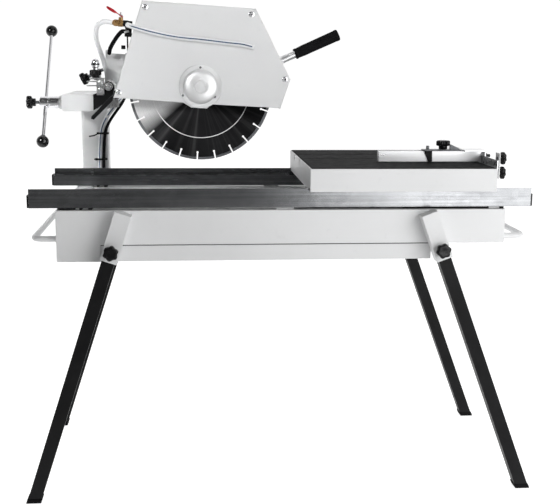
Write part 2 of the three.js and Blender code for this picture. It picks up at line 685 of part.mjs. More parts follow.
function tableDeck() {
  const { left, right, halfWidth, sheet, deckTop } = table;
  const edge = sheet + gap;
  const pieces = [cut(
    block(left + edge, right - edge, -halfWidth + edge, halfWidth - edge, deckTop - sheet, deckTop),
    ...slotCutter(slot.width, left))];
  for (const x of roller.x) {
    for (const side of [-1, 1]) {
      const [inner, outer] = [side * 182, side * 186.5].sort((a, b) => a - b);
      const [axleInner, axleOuter] = [side * 184, side * (roller.outer + 2)].sort((a, b) => a - b);
      pieces.push(block(x - 13, x + 13, inner, outer, 734, deckTop - 1));
      pieces.push(rod('y', roller.bore - gap, axleInner, axleOuter, [x, rollerZ], 12));
    }
  }
  return join(...pieces);
}

function tableMat() {
  const { left, right, halfWidth, sheet, deckTop, top } = table;
  const edge = sheet + gap;
  return cut(
    block(left + edge, right - edge, -halfWidth + edge, halfWidth - edge, deckTop + gap, top),
    ...slotCutter(slot.matWidth, left));
}

const rollerZ = rail.tubeTop + 0.4 + roller.radius;

function rollerWheel(x, side) {
  const [near, far] = [side * roller.inner, side * roller.outer].sort((a, b) => a - b);
  return cut(rod('y', roller.radius, near, far, [x, rollerZ], 20),
    rod('y', roller.bore, near - 1, far + 1, [x, rollerZ], 12));
}

// The rail on the table's right side, with the two-knob guide plate at its front end.
function sideRailBar() {
  const { inner, outer, front, back, bottom, top } = sideRail;
  const holes = guide.knobZ.map((z) => rod('x', studHole, inner - 1, guide.outer + 1, [guide.knobY, z], 12));
  const spacers = [front + 20, back - 20].map((y) => block(table.right + gap, inner + 1, y - 14, y + 14,
    bottom, bottom + 10));
  return cut(
    join(block(inner, outer, front, back, bottom, top),
      block(outer - 0.1, guide.outer, guide.front, guide.back, guide.bottom, guide.top), ...spacers),
    ...holes);
}

addTo(saw, 'table_frame', tableFrame(), paint);
addTo(saw, 'table_deck', tableDeck(), darkSteel);
addTo(saw, 'table_mat', tableMat(), rubber);
addTo(saw, 'side_rail', sideRailBar(), darkSteel);
for (const [end, x] of [['left', roller.x[0]], ['right', roller.x[1]]]) {
  addTo(saw, `roller_front_${end}`, rollerWheel(x, -1), plastic);
  addTo(saw, `roller_rear_${end}`, rollerWheel(x, 1), plastic);
}
for (const [name, z] of [['side_rail_knob', guide.knobZ[0]], ['fence_knob', guide.knobZ[1]]]) {
  addKnob(saw, name, { radius: 15, head: 11, hub: 5, stud: 5 }, [guide.outer + gap, guide.knobY, z], alongX);
}

// ---- cutting fence and length stop ----------------------------------------------------------

function fenceBar() {
  const { left, front, back, bottom, top, groove, flange, screw } = fence;
  const outline = [[front, bottom], [back, bottom], [back, top], [groove.back, top],
    [groove.back, top - groove.depth], [groove.front, top - groove.depth], [groove.front, top], [front, top]];
  const inner = sideRail.outer + gap;
  const outer = inner + flange.sheet;
  return join(
    profile(outline, left, sideRail.inner - gap),
    block(flange.left, outer, flange.front, flange.back, top - 0.5, top + 4),
    block(inner, outer, flange.front, flange.back, flange.bottom, top + 1),
    rod('x', screw.radius, outer - 1, outer - 1 + screw.length, [screw.y, screw.z], 12),
  );
}

// The stop slides on the fence: a foot plate, a face that the stone meets, a key in the fence's
// groove, a wedge behind the knob and a small pin.
function stopBlock() {
  const { left, right, front, back, sheet, knob, pin, key } = stop;
  const foot = fence.top + gap;
  const face = [[362.7, 789.5], [372.4, 789.5], [371.5, foot + 1], [353.5, foot + 1], [357, 808],
    [361, 800]];
  const wedge = [[420, foot + 3], [right, foot + 3], [right, foot + 6], [424, foot + 17], [420, foot + 17]];
  return cut(
    join(block(left, right, front, back, foot, foot + sheet), plate(face, front - 1, fence.front - gap),
      block(pin.x - 8, pin.x + 4, front, fence.front - 1, foot - 8, foot + 1),
      block(key.left, key.right, key.front, key.back, fence.top - 4, foot + 1),
      plate(wedge, -90, -80), rod('z', 4, foot, foot + pin.height, [pin.x, pin.y], 8)),
    rod('z', studHole, fence.top - 10, foot + 10, [knob.x, knob.y], 12));
}

addTo(saw, 'fence', fenceBar(), aluminium);
addTo(saw, 'stop_block', stopBlock(), darkSteel);
addKnob(saw, 'stop_knob', { radius: 16, head: 13, hub: 8, stud: 4 },
  [stop.knob.x, stop.knob.y, fence.top + gap + stop.sheet + gap], alongZ);

export default saw;
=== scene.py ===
import json
import math

import bmesh
import bpy
from mathutils import Matrix, Vector


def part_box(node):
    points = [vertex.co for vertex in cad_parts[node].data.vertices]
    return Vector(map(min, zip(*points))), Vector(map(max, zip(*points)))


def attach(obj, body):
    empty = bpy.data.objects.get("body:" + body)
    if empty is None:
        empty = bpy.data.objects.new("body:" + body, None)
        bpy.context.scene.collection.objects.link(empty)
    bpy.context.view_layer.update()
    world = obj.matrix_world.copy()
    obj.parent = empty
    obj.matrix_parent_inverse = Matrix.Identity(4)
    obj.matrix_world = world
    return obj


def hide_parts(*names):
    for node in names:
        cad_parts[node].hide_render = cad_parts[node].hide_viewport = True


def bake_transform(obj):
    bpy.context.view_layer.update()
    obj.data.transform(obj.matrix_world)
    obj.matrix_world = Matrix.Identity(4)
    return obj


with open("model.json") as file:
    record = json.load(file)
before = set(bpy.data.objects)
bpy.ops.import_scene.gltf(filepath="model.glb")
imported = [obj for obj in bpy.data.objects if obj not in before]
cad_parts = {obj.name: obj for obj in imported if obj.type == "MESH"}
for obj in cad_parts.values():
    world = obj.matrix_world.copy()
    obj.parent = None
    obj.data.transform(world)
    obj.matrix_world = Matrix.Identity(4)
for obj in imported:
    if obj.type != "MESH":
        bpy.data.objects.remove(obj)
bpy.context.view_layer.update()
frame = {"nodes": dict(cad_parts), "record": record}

# The visual model of a masonry table saw. Lengths are millimetres in the saw's own layout: X from the
# middle of the rails, Y from the upright blade's plane, Z up from the floor. at() and mesh_object()
# turn them into metres in the row frame.

MM = 0.001
RAIL_LOW, RAIL_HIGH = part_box("front_rail")
BLADE_LOW, BLADE_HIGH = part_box("blade")
ORIGIN = Vector(((RAIL_LOW.x + RAIL_HIGH.x) / 2, (BLADE_LOW.y + BLADE_HIGH.y) / 2, 0))

X, Y, Z = Vector((1, 0, 0)), Vector((0, 1, 0)), Vector((0, 0, 1))
FRONTWARD = -Y
LAYOUT = Matrix.Identity(4)


def at(x, y, z):
    """A layout point in metres in the row frame."""
    return ORIGIN + Vector((x, y, z)) * MM


def layout_box(node):
    """A CAD node's lowest and highest corner in the saw's layout."""
    return [(corner - ORIGIN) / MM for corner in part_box(node)]


def facing(origin, direction, up=(0, 0, 1)):
    """A placement whose local Z runs along a direction, with local Y as near to up as it can be."""
    z = Vector(direction).normalized()
    x = Vector(up).cross(z)
    if x.length < 1e-4:
        x = Y.cross(z)
    x.normalize()
    place = Matrix((x, z.cross(x), z)).transposed().to_4x4()
    place.translation = Vector(origin)
    return place


# ---- camera, floor and light -----------------------------------------------

EYE = (-212.85, -2400.57, 1028.53)
YAW, PITCH, ROLL = 0.0919, 0.197, 0.0093
FOCAL_LENGTH, SENSOR_WIDTH = 61.51, 36


def add_camera():
    ahead, drop = math.cos(PITCH), math.sin(PITCH)
    forward = Vector((math.sin(YAW) * ahead, math.cos(YAW) * ahead, -drop))
    level = Vector((math.cos(YAW), -math.sin(YAW), 0))
    rise = level.cross(forward)
    right = level * math.cos(ROLL) + rise * math.sin(ROLL)
    up = rise * math.cos(ROLL) - level * math.sin(ROLL)
    data = bpy.data.cameras.new("camera")
    data.sensor_width = SENSOR_WIDTH
    data.lens = FOCAL_LENGTH
    camera = bpy.data.objects.new("camera", data)
    bpy.context.scene.collection.objects.link(camera)
    turn = Matrix((right, up, -forward)).transposed().to_4x4()
    camera.matrix_world = Matrix.Translation(at(*EYE)) @ turn
    bpy.context.scene.camera = camera


def add_area_light(name, place, target, width, height, power, spread=math.pi):
    """A rectangular lamp that faces a target; places and sizes are metres in the row frame."""
    data = bpy.data.lights.new(name, "AREA")
    data.shape = "RECTANGLE"
    data.size = width
    data.size_y = height
    data.energy = power
    data.spread = spread
    light = bpy.data.objects.new(name, data)
    bpy.context.scene.collection.objects.link(light)
    light.location = place
    light.rotation_mode = "QUATERNION"
    light.rotation_quaternion = (Vector(target) - Vector(place)).to_track_quat("-Z", "Y")


def map_range(nodes, low, high, to_low, to_high):
    """A node that spreads the values between low and high over another range."""
    node = nodes.new("ShaderNodeMapRange")
    for name, amount in (("From Min", low), ("From Max", high), ("To Min", to_low),
                         ("To Max", to_high)):
        node.inputs[name].default_value = amount
    return node


def graded(nodes, links, source, low, high, dark, light):
    """A grey that runs from dark to light along the Y of a coordinate."""
    split = nodes.new("ShaderNodeSeparateXYZ")
    links.new(source, split.inputs["Vector"])
    grade = map_range(nodes, low, high, dark, light)
    grade.interpolation_type = "SMOOTHSTEP"
    links.new(split.outputs["Y"], grade.inputs["Value"])
    return grade.outputs["Result"]


def add_studio():
    """A white sweep behind the saw, a grey room before it, and softboxes on the right."""
    scene = bpy.context.scene
    scene.view_settings.view_transform = "Standard"
    world = bpy.data.worlds.new("studio")
    world.use_nodes = True
    nodes, links = world.node_tree.nodes, world.node_tree.links
    sky = nodes.new("ShaderNodeTexCoord").outputs["Generated"]
    nodes["Background"].inputs["Color"].default_value = (1, 1, 1, 1)
    links.new(graded(nodes, links, sky, -0.1, 0.45, 0.06, 1.03), nodes["Background"].inputs["Strength"])
    scene.world = world
    add_area_light("softbox", (1.5, -1.8, 1.15), (0.3, 0, 0.85), 1.7, 2.0, 39)
    add_area_light("rail_strip", (0.62, -2.0, 0.42), (0.3, 0, 0.7), 0.7, 0.35, 2.4)
    upper_left = (-1.7, -1.7, 2.0)
    add_area_light("key", upper_left, (-0.3, 0, 1.2), 0.7, 0.7, 0.9, math.radians(28))
    add_area_light("column_key", upper_left, (-0.45, 0.2, 0.74), 0.4, 0.4, 0.34, math.radians(13))
    add_area_light("overhead", (0.2, -0.3, 2.7), (0, 0.1, 0), 1.6, 1.6, 5)

    reach, top, thickness = 9000, -0.6, 19.4
    disc = [(reach * math.cos(a), reach * math.sin(a)) for a in turns(48)]
    floor = Shape().prism(disc, top - thickness, top)
    mesh_object("floor", floor, LOOKS["floor"])


# ---- solids in millimetres -------------------------------------------------

def turns(count, start=0.0):
    """Evenly spaced angles round a full turn."""
    return [start + 2 * math.pi * i / count for i in range(count)]


def smooth_path(points):
    """A centripetal Catmull-Rom curve through the points."""
    steps = 6
    knots = [Vector(p) for p in points]
    ends = [knots[0] * 2 - knots[1], *knots, knots[-1] * 2 - knots[-2]]
    path = []
    for a, b, c, d in zip(ends, ends[1:], ends[2:], ends[3:]):
        t1 = (b - a).length ** 0.5
        t2 = t1 + (c - b).length ** 0.5
        t3 = t2 + (d - c).length ** 0.5
        for i in range(steps):
            t = t1 + (t2 - t1) * i / steps
            ab = a.lerp(b, t / t1)
            bc = b.lerp(c, (t - t1) / (t2 - t1))
            cd = c.lerp(d, (t - t2) / (t3 - t2))
            path.append(ab.lerp(bc, t / t2).lerp(bc.lerp(cd, (t - t1) / (t3 - t1)), (t - t1) / (t2 - t1)))
    return [*path, knots[-1]]


class Shape:
    """Closed solids, in millimetres, that become one piece."""

    def __init__(self):
        self.verts = []
        self.faces = []

    def rings(self, rings, place=LAYOUT):
        """Skins a stack of equal rings of points and caps both ends."""
        first, sides = len(self.verts), len(rings[0])
        self.verts += [place @ Vector(point) for ring in rings for point in ring]
        for low in range(first, first + (len(rings) - 1) * sides, sides):
            for i in range(sides):
                j = (i + 1) % sides
                self.faces.append((low + i, low + j, low + sides + j, low + sides + i))
        last = first + (len(rings) - 1) * sides
        self.faces.append(tuple(reversed(range(first, first + sides))))
        self.faces.append(tuple(range(last, last + sides)))
        return self

    def prism(self, outline, low, high, place=LAYOUT):
        """An outline in local X and Y, thick along local Z."""
        return self.rings([[(x, y, z) for x, y in outline] for z in (low, high)], place)

    def box(self, low, high, place=LAYOUT):
        (x0, y0, z0), (x1, y1, z1) = low, high
        return self.prism([(x0, y0), (x1, y0), (x1, y1), (x0, y1)], z0, z1, place)

    def turned(self, profile, place=LAYOUT, sides=32, lobes=0, dip=0.0):
        """Rings of (radius, height) about local Z; dip draws the radius in between the lobes."""
        rings = []
        for radius, height in profile:
            ring = []
            for angle in turns(sides):
                reach = radius * (1 - dip * (0.5 - 0.5 * math.cos(lobes * angle)))
                ring.append((reach * math.cos(angle), reach * math.sin(angle), height))
            rings.append(ring)
        return self.rings(rings, place)

    def tube(self, path, radius, sides):
        """A round bar along a path of points."""
        path = [Vector(p) for p in path]
        rings = []
        across = None
        for i, point in enumerate(path):
            ahead = (path[min(i + 1, len(path) - 1)] - path[max(i - 1, 0)]).normalized()
            if across is None:
                across = ahead.orthogonal().normalized()
            across = (across - ahead * across.dot(ahead)).normalized()
            other = ahead.cross(across)
            rings.append([point + (across * math.cos(a) + other * math.sin(a)) * radius
                          for a in turns(sides)])
        return self.rings(rings)

    def ball(self, radius, place=LAYOUT, sides=32, low=-1.0, high=1.0):
        """A sphere about the placement's origin, kept between two shares of its radius in height."""
        profile = []
        start, stop = math.asin(low), math.asin(high)
        for i in range(17):
            angle = start + (stop - start) * i / 16
            profile.append((max(radius * math.cos(angle), radius * 0.02), radius * math.sin(angle)))
        return self.turned(profile, place, sides)


def rounded(x0, x1, y0, y1, radius):
    """A rectangle with rounded corners, anticlockwise."""
    steps = 5
    outline = []
    for x, y, start in ((x1, y0, -90), (x1, y1, 0), (x0, y1, 90), (x0, y0, 180)):
        cx = x - math.copysign(radius, x - (x0 + x1) / 2)
        cy = y - math.copysign(radius, y - (y0 + y1) / 2)
        for i in range(steps + 1):
            angle = math.radians(start + 90 * i / steps)
            outline.append((cx + radius * math.cos(angle), cy + radius * math.sin(angle)))
    return outline


def mesh_object(name, shape, material, crease=40):
    """Makes a shape into an object, smooth except where its faces meet at more than crease degrees."""
    mesh = bpy.data.meshes.new(name)
    mesh.from_pydata([ORIGIN + v * MM for v in shape.verts], [], shape.faces)
    work = bmesh.new()
    work.from_mesh(mesh)
    bmesh.ops.recalc_face_normals(work, faces=work.faces)
    work.to_mesh(mesh)
    work.free()
    mesh.materials.append(material)
    mesh.shade_smooth()
    if crease:
        mesh.set_sharp_from_angle(angle=math.radians(crease))
    obj = bpy.data.objects.new(name, mesh)
    bpy.context.scene.collection.objects.link(obj)
    return obj


def round_edges(obj, radius, segments, crease=40):
    """Rounds the edges sharper than a number of degrees, by a radius in millimetres."""
    edge = obj.modifiers.new("rounding", "BEVEL")
    edge.width = radius * MM
    edge.segments = segments
    edge.limit_method = "ANGLE"
    edge.angle_limit = math.radians(crease)
    return edge


def piece(name, shape, look, body, bevel=0.0, stands_for=(), crease=40):
    """Makes a shape into a piece that rides on a body; bevel rounds its edges by so many millimetres."""
    obj = mesh_object(name, shape, LOOKS[look], 0 if bevel else crease)
    if bevel:
        round_edges(obj, bevel, 2, crease).harden_normals = True
    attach(obj, body)
    if stands_for:
        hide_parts(*stands_for)
    return obj


# ---- materials -------------------------------------------------------------

def scaled(colour, factor):
    return (*[min(1.0, channel * factor) for channel in colour], 1.0)


# A mix node has one pair of inputs and one output for each data type, so its colours go by number.
COLOUR_A, COLOUR_B, MIXED_COLOUR = 6, 7, 2


class Tree:
    """A material's nodes, with short names for the few that the looks share."""

    def __init__(self, name):
        self.material = bpy.data.materials.new(name)
        self.material.use_nodes = True
        self.nodes = self.material.node_tree.nodes
        self.shader = self.nodes["Principled BSDF"]

    def link(self, source, target):
        self.material.node_tree.links.new(source, target)

    def feed(self, socket, value):
        """Links another node's output to a socket, or sets a plain value."""
        if isinstance(value, bpy.types.NodeSocket):
            self.link(value, socket)
        else:
            socket.default_value = value

    def noise(self, scale, detail=4.0, stretch=(1, 1, 1)):
        coords = self.nodes.new("ShaderNodeTexCoord")
        mapping = self.nodes.new("ShaderNodeMapping")
        mapping.inputs["Scale"].default_value = stretch
        texture = self.nodes.new("ShaderNodeTexNoise")
        texture.inputs["Scale"].default_value = scale
        texture.inputs["Detail"].default_value = detail
        self.link(coords.outputs["Object"], mapping.inputs["Vector"])
        self.link(mapping.outputs["Vector"], texture.inputs["Vector"])
        return texture.outputs["Fac"]

    def ranged(self, value, low, high, to_low=0.0, to_high=1.0):
        node = map_range(self.nodes, low, high, to_low, to_high)
        self.link(value, node.inputs["Value"])
        return node.outputs["Result"]

    def maths(self, operation, a, b):
        node = self.nodes.new("ShaderNodeMath")
        node.operation = operation
        for socket, value in zip(node.inputs, (a, b)):
            self.feed(socket, value)
        return node.outputs["Value"]

    def mix(self, share, a, b):
        node = self.nodes.new("ShaderNodeMix")
        node.data_type = "RGBA"
        self.link(share, node.inputs["Factor"])
        self.feed(node.inputs[COLOUR_A], a)
        self.feed(node.inputs[COLOUR_B], b)
        return node.outputs[MIXED_COLOUR]

    def rounding(self, radius):
        """The normal with edges rounded by a radius in millimetres, and a mask of those edges."""
        bevel = self.nodes.new("ShaderNodeBevel")
        bevel.samples = 4
        bevel.inputs["Radius"].default_value = radius * MM
        geometry = self.nodes.new("ShaderNodeNewGeometry")
        dot = self.nodes.new("ShaderNodeVectorMath")
        dot.operation = "DOT_PRODUCT"
        self.link(bevel.outputs["Normal"], dot.inputs[0])
        self.link(geometry.outputs["Normal"], dot.inputs[1])
        return bevel.outputs["Normal"], self.ranged(dot.outputs["Value"], 0.99, 0.8)

    def fan_round_y(self, anisotropy):
        """Stretches highlights round the object's Y axis."""
        tangent = self.nodes.new("ShaderNodeTangent")
        tangent.direction_type = "RADIAL"
        tangent.axis = "Y"
        self.link(tangent.outputs["Tangent"], self.shader.inputs["Tangent"])
        self.shader.inputs["Anisotropic"].default_value = anisotropy

    def noise_along(self, value, scale, detail):
        """One-dimensional noise, which changes only with the value."""
        texture = self.nodes.new("ShaderNodeTexNoise")
        texture.noise_dimensions = "1D"
        texture.inputs["Scale"].default_value = scale
        texture.inputs["Detail"].default_value = detail
        self.link(value, texture.inputs["W"])
        return texture.outputs["Fac"]

    def bump(self, height, strength, depth, normal=None):
        node = self.nodes.new("ShaderNodeBump")
        node.inputs["Strength"].default_value = strength
        node.inputs["Distance"].default_value = depth * MM
        self.link(height, node.inputs["Height"])
        if normal is not None:
            self.link(normal, node.inputs["Normal"])
        return node.outputs["Normal"]


def look(name, colour, roughness, metallic=0.0, shade=0.08, patch=9.0, stretch=(1, 1, 1),
         grain=900.0, grain_depth=0.05, spread=0.08, edge_colour=None, edge_share=0.5, radius=0.9,
         coat=0.0, specular=0.5):
    """Mottled colour and roughness, a fine grain, rounded edges and, where asked, wear along them."""
    tree = Tree(name)
    shader = tree.shader
    broad = tree.ranged(tree.noise(patch, 5.0, stretch), 0.32, 0.68)
    fine = tree.noise(grain, 3.0, stretch)
    base = tree.mix(broad, scaled(colour, 1 - shade), scaled(colour, 1 + shade))
    specks = tree.ranged(tree.noise(patch * 11, 6.0, stretch), 0.62, 0.8, 0.0, 0.55)
    base = tree.mix(specks, base, scaled(colour, 1 - 2.5 * shade))
    normal, edges = tree.rounding(radius)
    if edge_colour:
        rubbed = tree.ranged(tree.noise(70.0, 6.0), 0.45, 0.6, 0.0, edge_share)
        base = tree.mix(tree.maths("MULTIPLY", edges, rubbed), base, (*edge_colour, 1.0))
    tree.link(base, shader.inputs["Base Color"])
    smears = tree.noise(patch * 4, 5.0, stretch)
    rough = tree.ranged(smears, 0.3, 0.7, roughness - spread, roughness + spread)
    tree.link(rough, shader.inputs["Roughness"])
    tree.link(tree.bump(fine, 0.5, grain_depth, normal), shader.inputs["Normal"])
    shader.inputs["Metallic"].default_value = metallic
    shader.inputs["Specular IOR Level"].default_value = specular
    shader.inputs["Coat Weight"].default_value = coat
    shader.inputs["Coat Roughness"].default_value = 0.25
    return tree.material


def galvanised_look():
    """Dark zinc with rolling streaks along the rail, a faint spangle and a painted highlight along its
    edges.
    """
    tree = Tree("galvanised_steel")
    shader = tree.shader
    coords = tree.nodes.new("ShaderNodeTexCoord")
    spangle = tree.nodes.new("ShaderNodeTexVoronoi")
    spangle.inputs["Scale"].default_value = 70
    tree.link(coords.outputs["Object"], spangle.inputs["Vector"])
    streaks = tree.noise(170.0, 6.0, (0.012, 1, 1))
    flakes = tree.ranged(spangle.outputs["Color"], 0.0, 1.0, 0.42, 0.58)
    share = tree.ranged(tree.maths("MULTIPLY", tree.maths("ADD", streaks, flakes), 0.5), 0.36, 0.64)
    base = tree.mix(share, (0.10, 0.103, 0.108, 1), (0.24, 0.245, 0.252, 1))
    clouds = tree.ranged(tree.noise(9.0, 7.0, (0.35, 1, 1)), 0.42, 0.7)
    base = tree.mix(clouds, base, (0.26, 0.265, 0.272, 1))
    stains = tree.ranged(tree.noise(26.0, 7.0, (0.3, 1, 1)), 0.6, 0.75, 0.0, 0.5)
    base = tree.mix(stains, base, (0.07, 0.07, 0.073, 1))
    normal, edges = tree.rounding(0.8)
    # Pale along the rounded edges: a painted highlight where the edges catch the light.
    base = tree.mix(tree.maths("MULTIPLY", edges, 0.6), base, (0.6, 0.61, 0.63, 1))
    tree.link(base, shader.inputs["Base Color"])
    shader.inputs["Metallic"].default_value = 1.0
    tree.link(tree.ranged(share, 0.0, 1.0, 0.29, 0.2), shader.inputs["Roughness"])
    tree.link(tree.bump(streaks, 0.2, 0.06, normal), shader.inputs["Normal"])
    return tree.material


def turned_look(name, colour, roughness):
    """Metal turned on a lathe: light fans out round its Y axis."""
    tree = Tree(name)
    shader = tree.shader
    clouds = tree.ranged(tree.noise(30.0, 5.0), 0.3, 0.7)
    tree.link(tree.mix(clouds, scaled(colour, 0.94), scaled(colour, 1.04)), shader.inputs["Base Color"])
    shader.inputs["Metallic"].default_value = 0.6
    tree.fan_round_y(0.5)
    rough = tree.ranged(clouds, 0.0, 1.0, roughness + 0.05, roughness - 0.05)
    tree.link(rough, shader.inputs["Roughness"])
    tree.link(tree.bump(tree.noise(900.0), 0.2, 0.03), shader.inputs["Normal"])
    return tree.material


# The blade's painted highlight, a bright fan of reflection painted into its colour, lies between two
# angles about its centre, in radians from +X towards +Z. Its pale ring has a radius in metres.
HIGHLIGHT_FROM, HIGHLIGHT_TO = -2.42, -2.72
RING_RADIUS = 0.1205


def blade_look(centre):
    """Steel ground in circles, with fans of painted highlight across it and a pale ring."""
    tree = Tree("blade_steel")
    shader = tree.shader
    coords = tree.nodes.new("ShaderNodeTexCoord")
    offset = tree.nodes.new("ShaderNodeVectorMath")
    offset.operation = "SUBTRACT"
    offset.inputs[1].default_value = centre
    tree.link(coords.outputs["Object"], offset.inputs[0])
    split = tree.nodes.new("ShaderNodeSeparateXYZ")
    tree.link(offset.outputs["Vector"], split.inputs["Vector"])
    squares = [tree.maths("POWER", split.outputs[axis], 2.0) for axis in "XZ"]
    radius = tree.maths("POWER", tree.maths("ADD", *squares), 0.5)
    grooves = tree.ranged(tree.noise_along(radius, 1400, 5), 0.3, 0.7)
    clouds = tree.ranged(tree.noise(16.0, 6.0), 0.3, 0.7)
    angle = tree.maths("ARCTAN2", split.outputs["Z"], split.outputs["X"])
    # Painted highlights: faint fans of reflection at random angles, and one bright fan between two
    # angles.
    faint_painted_fans = tree.ranged(tree.noise_along(angle, 5.5, 7), 0.48, 0.75, 0.0, 0.045)
    painted_highlight_fan = tree.ranged(angle, HIGHLIGHT_FROM, HIGHLIGHT_TO, 0.0, 1.0)
    painted_highlights = tree.maths("MAXIMUM", faint_painted_fans, painted_highlight_fan)
    base = tree.mix(clouds, (0.012, 0.012, 0.013, 1), (0.018, 0.018, 0.019, 1))
    base = tree.mix(painted_highlights, base, (0.97, 0.97, 0.975, 1))
    base = tree.mix(tree.maths("MULTIPLY", grooves, 0.4), base, (0.02, 0.02, 0.021, 1))
    off_line = tree.maths("ABSOLUTE", tree.maths("SUBTRACT", radius, RING_RADIUS), 0.0)
    line = tree.ranged(off_line, 0.0007, 0.0012, 1.0, 0.0)
    base = tree.mix(line, base, (0.85, 0.85, 0.85, 1))
    tree.link(base, shader.inputs["Base Color"])
    # The painted highlight's fan is made less metallic, so that it stays bright as diffuse white.
    tree.link(tree.ranged(painted_highlight_fan, 0.1, 0.8, 1.0, 0.1), shader.inputs["Metallic"])
    tree.fan_round_y(0.92)
    tree.link(tree.ranged(clouds, 0.0, 1.0, 0.47, 0.41), shader.inputs["Roughness"])
    tree.link(tree.bump(grooves, 0.12, 0.03), shader.inputs["Normal"])
    return tree.material


def hose_look():
    """Clear flexible tube, slightly clouded."""
    tree = Tree("clear_hose")
    shader = tree.shader
    cloud = tree.ranged(tree.noise(120.0, 4.0), 0.35, 0.65)
    tree.link(tree.mix(cloud, (0.96, 0.975, 1.0, 1), (1.0, 1.0, 1.0, 1)), shader.inputs["Base Color"])
    tree.link(tree.ranged(cloud, 0.0, 1.0, 0.10, 0.2), shader.inputs["Roughness"])
    shader.inputs["Transmission Weight"].default_value = 0.15
    shader.inputs["IOR"].default_value = 1.25
    tree.link(tree.bump(tree.noise(300.0), 0.15, 0.05), shader.inputs["Normal"])
    return tree.material


def floor_look():
    """Pale paper that glows, dim before the saw and bright behind it, to meet the white sweep without a
    line.
    """
    tree = Tree("floor")
    shader = tree.shader
    mottle = tree.ranged(tree.noise(2.0), 0.3, 0.7)
    tree.link(tree.mix(mottle, (0.5, 0.5, 0.5, 1), (0.52, 0.52, 0.52, 1)), shader.inputs["Base Color"])
    shader.inputs["Roughness"].default_value = 0.9
    shader.inputs["Emission Color"].default_value = (1, 1, 1, 1)
    ground = tree.nodes.new("ShaderNodeTexCoord").outputs["Object"]
    # Painted light: the floor's own glow, graded along Y.
    glow = graded(tree.nodes, tree.material.node_tree.links, ground, -1.4, -0.33, 0.04, 0.9)
    tree.link(glow, shader.inputs["Emission Strength"])
    return tree.material


LOOKS = {
    "frame_paint": look("frame_paint", (0.71, 0.715, 0.72), 0.42, shade=0.03, patch=5.0, grain=1400.0,
                        grain_depth=0.06, edge_colour=(0.9, 0.9, 0.9), edge_share=0.8, radius=1.4),
    "galvanised_steel": galvanised_look(),
    "bright_steel": look("bright_steel", (0.68, 0.685, 0.69), 0.28, 0.9, shade=0.08, patch=20.0,
                         grain=700.0, grain_depth=0.006, spread=0.05, radius=0.5),
    "blade_steel": blade_look((BLADE_LOW + BLADE_HIGH) / 2),
    "dark_steel": look("dark_steel", (0.15, 0.155, 0.165), 0.42, 0.4, shade=0.15, patch=20.0,
                       edge_colour=(0.45, 0.46, 0.48), edge_share=0.7),
    "motor_paint": look("motor_paint", (0.11, 0.115, 0.125), 0.4, shade=0.12, patch=18.0, grain=700.0,
                        grain_depth=0.15, edge_colour=(0.35, 0.36, 0.37), edge_share=0.5),
    "black_paint": look("black_paint", (0.009, 0.009, 0.0095), 0.42, shade=0.25, patch=14.0, grain=1200.0,
                        grain_depth=0.08, edge_colour=(0.12, 0.12, 0.125), edge_share=0.9, radius=1.6,
                        specular=0.1),
    "black_rubber": look("black_rubber", (0.007, 0.007, 0.0075), 0.7, shade=0.25, patch=16.0, grain=800.0,
                         grain_depth=0.2, specular=0.05),
    "black_plastic": look("black_plastic", (0.006, 0.006, 0.0065), 0.24, shade=0.2, patch=30.0,
                          grain=1500.0, grain_depth=0.03, edge_colour=(0.05, 0.05, 0.055), radius=0.5,
                          specular=0.22),
    "clear_hose": hose_look(),
    "brass": look("brass", (0.45, 0.27, 0.11), 0.3, 1.0, shade=0.2, patch=60.0, grain_depth=0.1,
                  radius=0.4),
    "red_paint": look("red_paint", (0.42, 0.012, 0.02), 0.28, shade=0.15, patch=60.0, coat=0.4),
    "fence_aluminium": look("fence_aluminium", (0.86, 0.865, 0.875), 0.34, 0.75, shade=0.05, patch=20.0,
                            stretch=(0.08, 1, 1), grain=600.0, grain_depth=0.06, radius=0.6),
    "hose_core": look("hose_core", (0.035, 0.075, 0.16), 0.35, shade=0.2, patch=60.0),
    "turned_aluminium": turned_look("turned_aluminium", (0.86, 0.865, 0.87), 0.46),
    "gloss_plastic": look("gloss_plastic", (0.006, 0.006, 0.0065), 0.1, shade=0.2, patch=30.0,
                          spread=0.04, grain=900.0, grain_depth=0.01),
    "chrome": look("chrome", (0.84, 0.84, 0.86), 0.14, 1.0, shade=0.03, spread=0.03, grain_depth=0.004,
                   radius=0.2),
    "floor": floor_look(),
}
for node_row in frame["record"]["subparts"]:
    frame["nodes"][node_row["node"]].material_slots[0].material = LOOKS[node_row["material_slot"]]
for node, radius in (("arm_beam", 6), ("front_rail", 1.2), ("rear_rail", 2.4)):
    round_edges(frame["nodes"][node], radius, 4)

# ---- placements ------------------------------------------------------------

# UPRIGHT stands an outline in X and Z, and ALONG an outline in Y and Z. HEAD is the saw head's own
# frame: its origin is the pivot pin, its X runs down the head towards the handle.
UPRIGHT = Matrix(((1, 0, 0, 0), (0, 0, -1, 0), (0, 1, 0, 0), (0, 0, 0, 1)))
ALONG = Matrix(((0, 0, 1, 0), (1, 0, 0, 0), (0, 1, 0, 0), (0, 0, 0, 1)))
PIVOT_X, PIVOT_Z = -418, 963
DROOP = math.radians(3.25)
HEAD = Matrix.Translation((PIVOT_X, 0, PIVOT_Z)) @ Matrix.Rotation(DROOP, 4, "Y")
ARBOR = HEAD @ Matrix.Translation((226, 0, 10))
TILT_Y, TILT_Z = 60, 922


def upright(shape, outline, front, back, place=LAYOUT):
    """A plate with its outline in X and Z, between two depths in Y."""
    return shape.prism(outline, -back, -front, place @ UPRIGHT)


def along(shape, outline, start, end):
    """A bar with its outline in Y and Z, run along X."""
    return shape.prism(outline, start, end, ALONG)


def mirrored(side, near, far):
    """Two distances from the middle as a low and a high value on one side of it."""
    return sorted((side * near, side * far))


